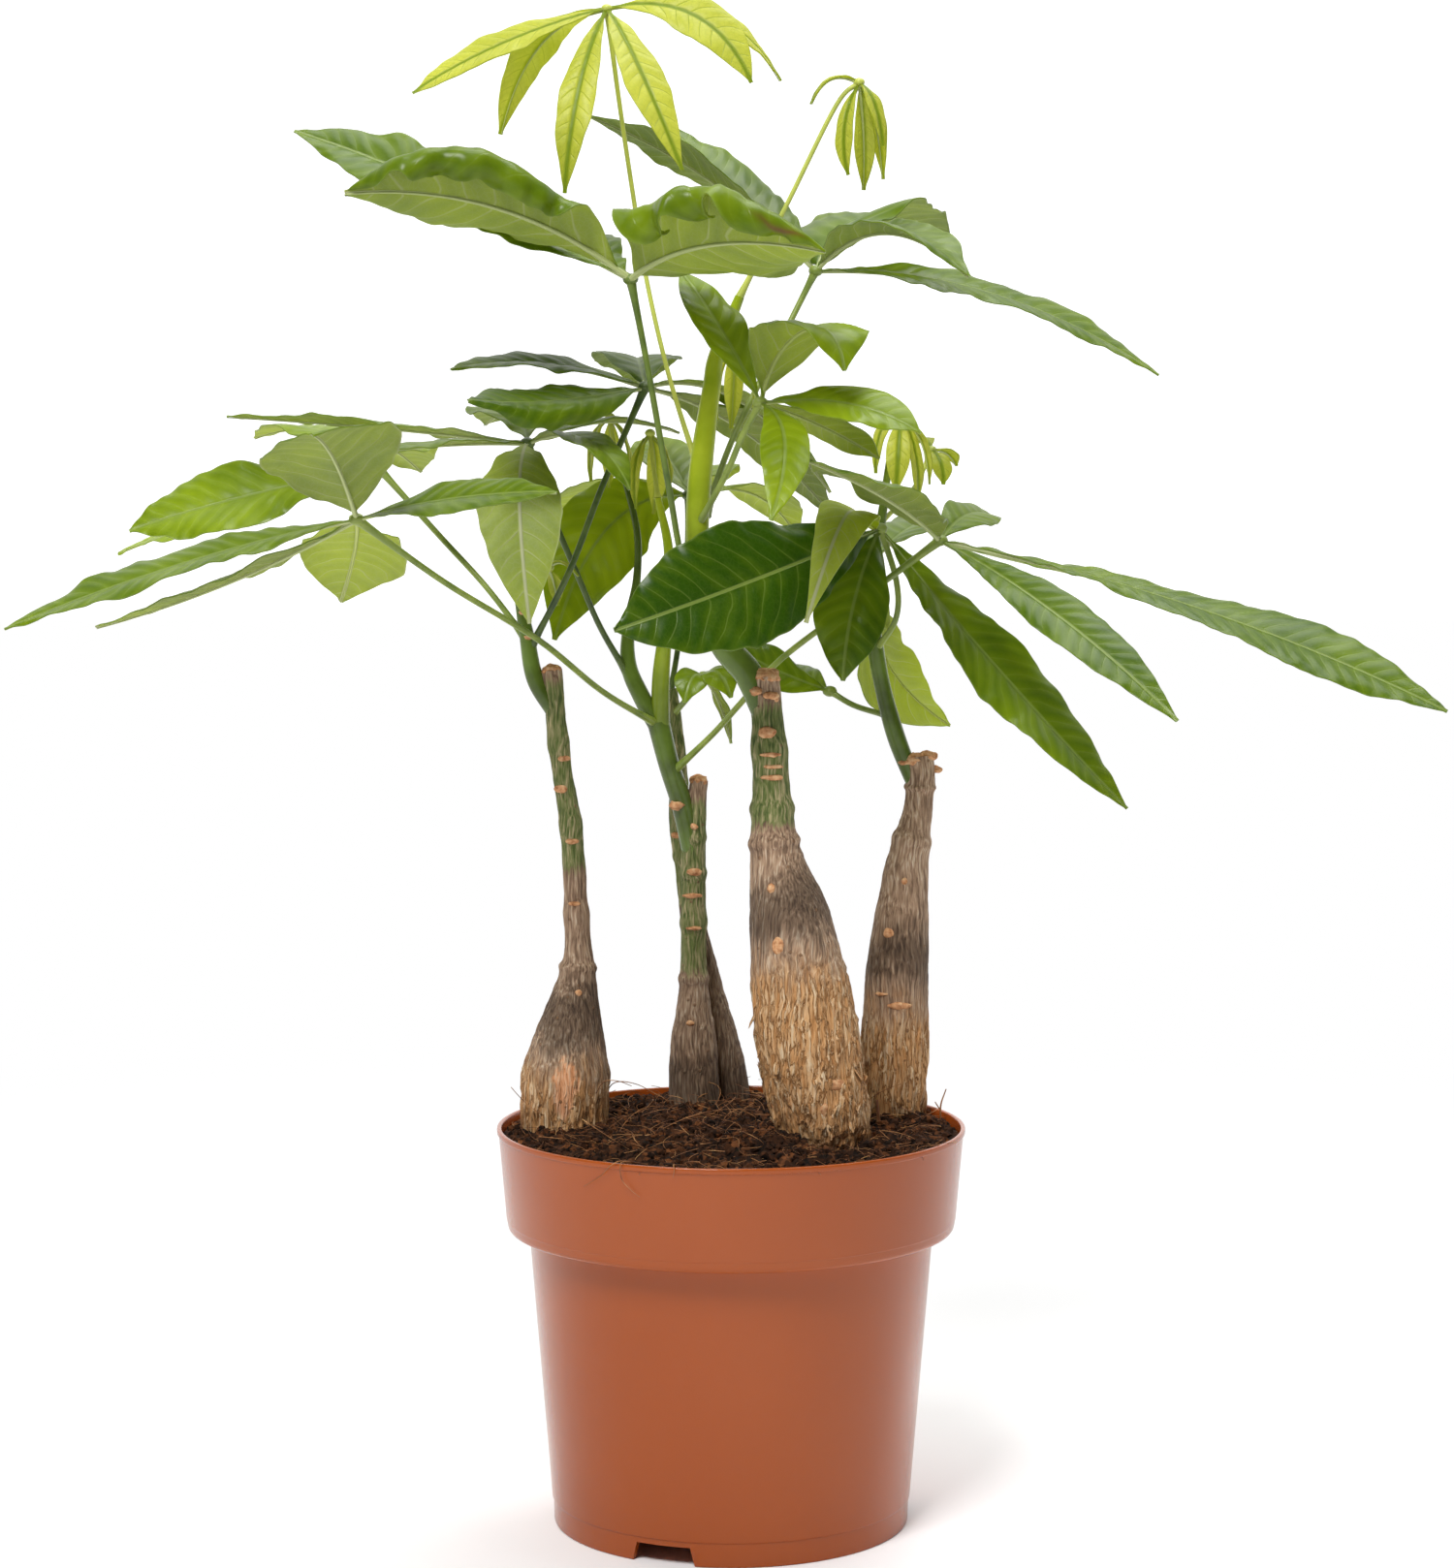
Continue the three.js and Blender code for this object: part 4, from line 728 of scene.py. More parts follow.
def make_pot(plastic):
    foot = FOOT_RADIUS - FOOT_RING
    corners = [
        (0, FOOT_RECESS, 0),
        (foot - 0.3 * MM, FOOT_RECESS, 0.8 * MM),
        (foot, 0, 0.4 * MM),
        (FOOT_RADIUS, 0, 0.7 * MM),
        (WALL_FOOT_RADIUS - 0.5 * MM, FOOT_STEP_Z - 0.3 * MM, 0.1 * MM),
        (WALL_FOOT_RADIUS, FOOT_STEP_Z + 0.1 * MM, 0.2 * MM),
        (WALL_TOP_RADIUS, COLLAR_FOOT_Z, 0.5 * MM),
        (COLLAR_FOOT_RADIUS - 0.3 * MM, COLLAR_FOOT_Z, 2.2 * MM),
        (COLLAR_FOOT_RADIUS + 0.2 * MM, COLLAR_FOOT_Z + 4 * MM, 0.1 * MM),
        (COLLAR_FOOT_RADIUS + 0.36 * MM, COLLAR_FOOT_Z + 4.15 * MM, 0.1 * MM),
        (RIM_RADIUS - 0.65 * MM, POT_HEIGHT - 2.1 * MM, 0.15 * MM),
        (RIM_RADIUS - 0.05 * MM, POT_HEIGHT - 1.9 * MM, 0.2 * MM),
        (RIM_RADIUS, POT_HEIGHT, 0.7 * MM),
        (RIM_RADIUS - WALL, POT_HEIGHT, 0.6 * MM),
        (RIM_RADIUS - WALL - 0.6 * MM, POT_HEIGHT - 3 * MM, 0.5 * MM),
        (COLLAR_FOOT_RADIUS - WALL, COLLAR_FOOT_Z + WALL + 1 * MM, 0.6 * MM),
        (WALL_TOP_RADIUS - WALL, COLLAR_FOOT_Z + WALL, 0.6 * MM),
        (WALL_FOOT_RADIUS - WALL, FOOT_RECESS + WALL, 1 * MM),
        (0, FOOT_RECESS + WALL, 0),
    ]
    pot = turned_solid("pot", rounded(corners), POT_SIDES)
    pot.data.materials.append(plastic)
    grow(pot, notch_tree(), {
        "Count": NOTCHES, "Width": NOTCH_WIDTH, "Height": NOTCH_HEIGHT, "Foot Radius": FOOT_RADIUS - 1 * MM,
        "Turn": (0, 0, NOTCH_TURN - math.pi / 2)})
    finished(pot, "pot_plastic", "pot")
    pot.data.shade_smooth()
    pot.data.set_sharp_from_angle(angle=math.radians(35))


# ---- the compost --------------------------------------------------------

SOIL_Z = 142 * MM
SOIL_MOUND = 4 * MM
SOIL_LUMPS = 1.1 * MM
SOIL_RADIUS = 82.3 * MM
SOIL_RINGS = 70
SOIL_SIDES = 200


def soil_top(x, y):
    """Height of the compost at a place: a low mound with lumps on it."""
    away = math.hypot(x, y) / SOIL_RADIUS
    u, v = x / MM, y / MM
    lumps = math.sin(u * 0.31 + 1.3) * math.cos(v * 0.27) + 0.6 * math.sin(u * 0.73 + v * 0.55)
    # Compost is heaped against the front trunk's left side and washed away from its foot.
    heap = 6 * MM * math.exp(-((u - 12) ** 2 + (v + 46) ** 2) / 240)
    hollow = 2.5 * MM * math.exp(-((u - 40) ** 2 + (v + 46) ** 2) / 160)
    return SOIL_Z + SOIL_MOUND * (1 - away ** 2) + SOIL_LUMPS * lumps * (1 - 0.5 * away ** 6) + heap - hollow


def make_compost(soil, fibre):
    floor = FOOT_RECESS + WALL + 0.3 * MM
    profile = [(0, floor), (WALL_FOOT_RADIUS - WALL - 0.3 * MM, floor)]
    profile.append((WALL_TOP_RADIUS - WALL - 0.4 * MM, COLLAR_FOOT_Z + 1.9 * MM))
    profile.append((COLLAR_FOOT_RADIUS - WALL - 0.5 * MM, COLLAR_FOOT_Z + 3 * MM))
    profile += [(SOIL_RADIUS * k / SOIL_RINGS, SOIL_Z) for k in range(SOIL_RINGS, -1, -1)]
    compost = turned_solid("compost", profile, SOIL_SIDES)
    for point in compost.data.vertices:
        x, y, z = point.co
        if z > SOIL_Z - MM:
            point.co.z = soil_top(x, y)
    grow(compost, soil_tree(), {
        "Crumbs": 245000.0, "Crumb Size": 2.1 * MM, "Fibres": 24000.0, "Fibre Length": 36 * MM,
        "Reach": 80.5 * MM, "Seed": 11, "Peat": soil, "Coir": fibre})
    finished(compost, "compost", "compost")


# ---- the trunks ---------------------------------------------------------
# Each run is a list of [x, y, z, radius] in millimetres along its middle; the first is the woody stem and the
# others are the green shoots that grow from it. rings are the shares of the first run where old leaves have
# left a raised line. The skin is green between the heights green_from and green_to, the ochre strips end at
# ochre_to, and each run turns yellow-green at its fresh_from. dark is painted shade: how much darker the
# cork is made on the trunks that stand behind the others and under the crown. plates are the loose bark plates
# to a square metre, and bare is the middle and half the size of a patch without bark. scars are (height,
# degrees from the right-hand side towards the front, half width, half height), and knobs are (x, y, z,
# radius).

TRUNKS = {
    "trunk_left": {
        "rings": [0.62, 0.72, 0.81, 0.92], "green_from": 238, "green_to": 306, "ochre_to": 166, "dark": 0.12,
        "fresh_from": [360, 360], "plates": 12000.0, "bare": [(-59.7, -7.3, 160), (5.2, 6, 10)],
        "runs": [
            [[-57, 8, 112, 5], [-58, 8, 121, 11], [-60, 8, 133, 14.6], [-61, 8, 147, 15.2],
             [-60, 8, 165, 15.3], [-58, 8, 183, 10.8], [-56, 8, 199, 6.6], [-56, 8, 215, 4.5],
             [-58, 8, 251, 3.9], [-62, 8, 278, 3.6], [-65, 8, 310, 3.7]],
            [[-64, 8, 295, 3.2], [-71, 8, 307, 3.2], [-74, 8, 323, 2.7], [-77, 8, 338, 1.6]],
        ],
        "scars": [(278, 60, 2.6, 1.0), (267, 115, 2.6, 1.3), (248, 85, 2.4, 1.1), (226, 95, 2.2, 0.8),
                  (193, 80, 1.2, 1.2)],
        "knobs": [(-65, 8, 310, 3.6), (-73, 7, 322, 2.4), (-75, 6, 331, 1.8)],
    },
    "trunk_middle": {
        "rings": [0.6, 0.7, 0.79, 0.88], "green_from": 196, "green_to": 259, "ochre_to": 132, "dark": 0.25,
        "fresh_from": [300, 400, 420, 290], "plates": 0.0,
        "runs": [
            [[-13, 46, 106, 4], [-14, 47, 118, 7.5], [-14, 47, 140, 9.4], [-14, 47, 166, 8.8],
             [-14, 47, 181, 6.4], [-14, 47, 196, 4.9], [-14, 46, 225, 4.5], [-14, 45, 245, 4.4],
             [-12, 44, 267, 3.2]],
            [[-14, 45, 238, 3.8], [-18, 43, 257, 4], [-23, 40, 273, 3.9], [-27, 40, 289, 4.2]],
            [[-25, 40, 283, 3.2], [-33, 40, 298, 3.3], [-38, 42, 310, 3], [-38, 44, 325, 2.2],
             [-35, 45, 342, 1.5], [-35, 45, 360, 1.3], [-40, 47, 381, 1.1]],
            [[-26, 40, 283, 3.4], [-26, 38, 305, 3.3], [-24, 36, 327, 2.4], [-23, 36, 352, 1.8],
             [-27, 38, 372, 1.3]],
        ],
        "scars": [(250, 110, 3.0, 1.2), (233, 85, 2.8, 1.5), (224, 95, 3.8, 1.0), (212, 90, 3.0, 0.6),
                  (176, 100, 1.6, 1.0)],
        "knobs": [(-12, 44, 267, 3.4), (-20, 40, 258, 3.0)],
    },
    "trunk_rear": {
        "rings": [0.7, 0.85], "green_from": 218, "green_to": 400, "ochre_to": 132, "dark": 0.5,
        "fresh_from": [400], "plates": 0.0,
        "runs": [
            [[0, 63, 106, 4], [-1, 64, 118, 7.5], [-2, 64, 145, 9], [-5, 64, 164, 8.4], [-9, 64, 183, 6.8],
             [-14, 64, 209, 4.9], [-17, 64, 231, 4], [-20, 64, 250, 3.5], [-20, 64, 272, 3.3],
             [-23, 64, 300, 2.8]],
        ],
        "scars": [(245, 100, 2.6, 1.2), (222, 80, 2.2, 0.9)],
        "knobs": [],
    },
    "trunk_front": {
        "rings": [0.8, 0.86, 0.935], "green_from": 256, "green_to": 300, "ochre_to": 208, "dark": 0.0,
        "fresh_from": [345, 345], "plates": 42000.0,
        "runs": [
            [[34, -24, 100, 5], [35, -24, 112, 10], [36, -24, 127, 11.2], [36, -24, 138, 12.6],
             [33, -24, 150, 16.4], [29, -24, 168, 17.4], [26, -24, 188, 17.6], [21, -23, 222, 14.6],
             [17, -22, 240, 10.4], [15, -22, 254, 7.9], [14, -21, 275, 6.3], [12, -20, 309, 5]],
            [[12, -20, 296, 4.6], [6, -19, 310, 5.1], [-3, -18, 321, 4.9], [-10, -17, 339, 4.3],
             [-12, -16, 356, 4.1], [-11, -14, 380, 4.2], [-7, -12, 411, 3.2], [-5, -12, 423, 2.8],
             [3, -12, 443, 1.7]],
        ],
        "scars": [(290, 95, 3.2, 2.2), (282, 88, 3.8, 0.7), (278, 80, 3.6, 0.8), (274, 88, 4.2, 0.9),
                  (302, 70, 3.0, 1.6), (235, 110, 1.4, 2.0), (215, 112, 2.2, 3.2), (236, 60, 1.0, 1.0),
                  (166, 62, 3.0, 2.2), (158, 84, 2.0, 3.0)],
        "knobs": [(12, -20, 309, 5.2), (9, -22, 304, 3.4), (14, -22, 301, 3.0)],
    },
    "trunk_right": {
        "rings": [0.72, 0.86], "green_from": 400, "green_to": 400, "ochre_to": 182, "dark": 0.05,
        "fresh_from": [385, 385], "plates": 14000.0,
        "runs": [
            [[57, 31, 112, 4.5], [58, 31, 121, 9], [59, 32, 135, 11.8], [60, 32, 149, 12.3],
             [61, 32, 176, 11.9], [62, 32, 200, 11.4], [65, 32, 234, 8.2], [69, 32, 256, 5.4],
             [70, 32, 268, 5.4], [69, 32, 277, 5.8]],
            [[69, 32, 264, 3], [61, 30, 284, 3.4], [56, 29, 302, 3], [53, 28, 318, 3], [51, 28, 334, 2.7],
             [52, 29, 349, 2.2], [55, 30, 363, 1.8], [58, 30, 386, 1.2]],
        ],
        "scars": [(232, 95, 1.2, 1.4), (212, 118, 2.0, 2.2), (186, 86, 4.6, 1.4), (190, 120, 2.6, 0.8)],
        "knobs": [(73, 31, 277, 3.2), (68, 30, 276, 4.0), (64, 30, 275, 2.8), (76, 33, 272, 2.2)],
    },
}


def smooth_path(points, steps):
    """Rows on the smooth curve through the given rows, with the given number of steps to each stretch."""
    rows = np.array(points, float)
    rows = np.vstack([2 * rows[0] - rows[1], rows, 2 * rows[-1] - rows[-2]])
    path = []
    for a, b, c, d in zip(rows, rows[1:], rows[2:], rows[3:]):
        for s in np.arange(steps) / steps:
            path.append(0.5 * (2 * b + (c - a) * s + (2 * a - 5 * b + 4 * c - d) * s ** 2
                               + (3 * b - a - 3 * c + d) * s ** 3))
    return np.array(path + [rows[-2]])


def set_values(piece, name, values):
    """Keeps one number, or one vector, for each point of the piece."""
    flat = np.array(values, float)
    kind = "FLOAT" if flat.ndim == 1 else "FLOAT_VECTOR"
    layer = piece.data.attributes.new(name, kind, "POINT")
    layer.data.foreach_set("value" if kind == "FLOAT" else "vector", flat.ravel())


def ease(low, high, value):
    """0 below low, 1 above high and a smooth step between."""
    s = np.clip((value - low) / (high - low), 0, 1)
    return s * s * (3 - 2 * s)


class Skeleton:
    """Paths and bumps that the stem tree grows a skin on, gathered run by run."""

    def __init__(self):
        self.points, self.edges = [], []
        kept = ("radius", "woody", "over_green", "over_ochre", "fresh", "share", "dark")
        self.values = {name: [] for name in kept}
        self.bump, self.turned = [], []

    def _put(self, point, bump=(0, 0, 0), turned=(0, 0, 0), **values):
        self.points.append(Vector(point) * MM)
        self.bump.append(Vector(bump) * MM)
        self.turned.append(turned)
        for name, kept in self.values.items():
            kept.append(values.get(name, 0.0))

    def path(self, rows, **values):
        """Rows are x, y, z and radius; each value is one number or one for each row."""
        first = len(self.points)
        for k, row in enumerate(rows):
            here = {name: v if np.isscalar(v) else v[k] for name, v in values.items()}
            self._put(row[:3], radius=row[3] * MM, share=k / (len(rows) - 1), **here)
        self.edges += [(k, k + 1) for k in range(first, len(self.points) - 1)]

    def lump(self, point, sizes, outwards=(0, 0, 1), **values):
        """A flattened ball: half its width, height and depth, with its depth facing outwards."""
        depth = Vector(outwards).normalized()
        width = depth.cross(Vector((0, 0, 1)))
        width = width.normalized() if width.length > 0.01 else Vector((1, 0, 0))
        frame_of_lump = Matrix((width, depth.cross(width), depth)).transposed()
        self._put(point, sizes, frame_of_lump.to_euler(), **values)

    def piece(self, name):
        made = new_piece(name, self.points, self.edges)
        for layer, kept in self.values.items():
            set_values(made, layer, kept)
        set_values(made, "bump", self.bump)
        set_values(made, "turned", self.turned)
        return made


RING_SWELL = 0.14
RING_WIDTH = 0.012
NOWHERE = [(0, 0, -100), (1, 1, 1)]


def make_trunk(name, shape, tree, skin, cork):
    bones = Skeleton()
    for number, run in enumerate(shape["runs"]):
        woody = number == 0
        rows = smooth_path(run, TRUNK_STEPS if woody else SHOOT_STEPS)
        share = np.linspace(0, 1, len(rows))
        if woody:
            for ring in shape["rings"]:
                rows[:, 3] *= 1 + RING_SWELL * np.exp(-((share - ring) / RING_WIDTH) ** 2)
            main = rows
        z = rows[:, 2]
        over_green = np.minimum(z - shape["green_from"], shape["green_to"] - z) if woody else 50.0
        over_ochre = z - shape["ochre_to"] if woody else 100.0
        fresh = ease(-25, 45, z - shape["fresh_from"][number])
        bones.path(rows, woody=float(woody), over_green=over_green, over_ochre=over_ochre, fresh=fresh,
                   dark=shape["dark"])
    for z, angle, half, tall in shape["scars"]:
        at = main[np.argmin(np.abs(main[:, 2] - z))]
        turn = math.radians(-angle)
        outwards = Vector((math.cos(turn), math.sin(turn), 0))
        bones.lump(Vector(at[:3]) + outwards * at[3] * 0.98, (half, tall, 0.9), outwards)
    for x, y, z, radius in shape["knobs"]:
        bones.lump((x, y, z), (radius, radius, radius * 0.6))
    trunk = bones.piece(name)
    bare_place, bare_size = shape.get("bare", NOWHERE)
    grow(trunk, tree, {
        "Sides": TRUNK_SIDES, "Lobes": 1.0, "Crack Depth": 1.3 * MM, "Flake Depth": 1.0 * MM,
        "Plates": shape["plates"], "Bare Place": Vector(bare_place) * MM, "Bare Size": Vector(bare_size) * MM,
        "Bump Roughness": 1.7, "Skin": skin, "Bump Skin": cork})
    finished(trunk, "bark", name)


# ---- root hairs ---------------------------------------------------------
# Runs of [x, y, z, radius] in millimetres: three hairs that hang over the rim at the front left, two beside
# the left trunk, a forked twig at the right of the rim and a dead root that stands behind the front trunk.

ROOT_HAIRS = [
    [[-33, -68, 144, 0.2], [-38, -75, 145.9, 0.2], [-41.7, -75.2, 144, 0.16], [-44.7, -72.4, 140.4, 0.14],
     [-50.8, -67.6, 135.6, 0.1]],
    [[-29, -71, 144, 0.2], [-36.5, -76.3, 146, 0.18], [-38, -77.3, 144.4, 0.16], [-37.4, -77, 139.8, 0.14],
     [-34.2, -77.5, 136.2, 0.12], [-31.3, -78.6, 134.1, 0.1]],
    [[-18, -76, 144, 0.2], [-19.6, -82.6, 146.1, 0.2], [-19.4, -83.8, 144.5, 0.16],
     [-19.9, -83.2, 141.7, 0.1]],
    [[-49, -4, 157, 0.2], [-46, -4, 161.4, 0.18], [-41, -4, 161.6, 0.16], [-36, -3, 159.6, 0.12]],
    [[-47, 6, 152, 0.2], [-43, 9, 158.6, 0.2], [-35, 10, 158.2, 0.16], [-26, 10, 153.6, 0.12]],
    [[77.8, 20, 140, 0.4], [77.4, 20, 148, 0.34], [79.4, 20, 154.6, 0.2]],
    [[77.4, 20, 146.5, 0.3], [75.3, 20, 149.8, 0.2]],
    [[54, 0, 140, 0.8], [53.7, 0, 146, 0.7], [53, 0, 154, 0.5]],
]


def make_root_hairs(tree, fibre):
    bones = Skeleton()
    for run in ROOT_HAIRS:
        bones.path(smooth_path(run, FINE_STEPS))
    hairs = bones.piece("root_hairs")
    grow(hairs, tree, {"Sides": HAIR_SIDES, "Skin": fibre, "Bump Skin": fibre})
    finished(hairs, "compost")


# ---- the leaves ---------------------------------------------------------
# Millimetres and degrees. A stalk runs through its points from the middle of the stem to the hub. A row of
# the leaflets is the middle and the tip of the midrib, both measured from the hub, the width, and the roll
# about the midrib, where a positive one lifts the right edge as seen from the hub. Of what may follow, fold is
# a point between middle and tip where a leaflet bends over, twist adds to the roll towards the tip, cup curls
# the left and right edges, lip rolls the outer parts of both, widest is the share of the length where the
# blade is widest, and blemish is a wound's place across and along. A turned leaflet shows its underside from
# above. tone runs from 0, dark green, to 1, yellow-green, and stalk_tone is the same for a grown leaf's stalk.

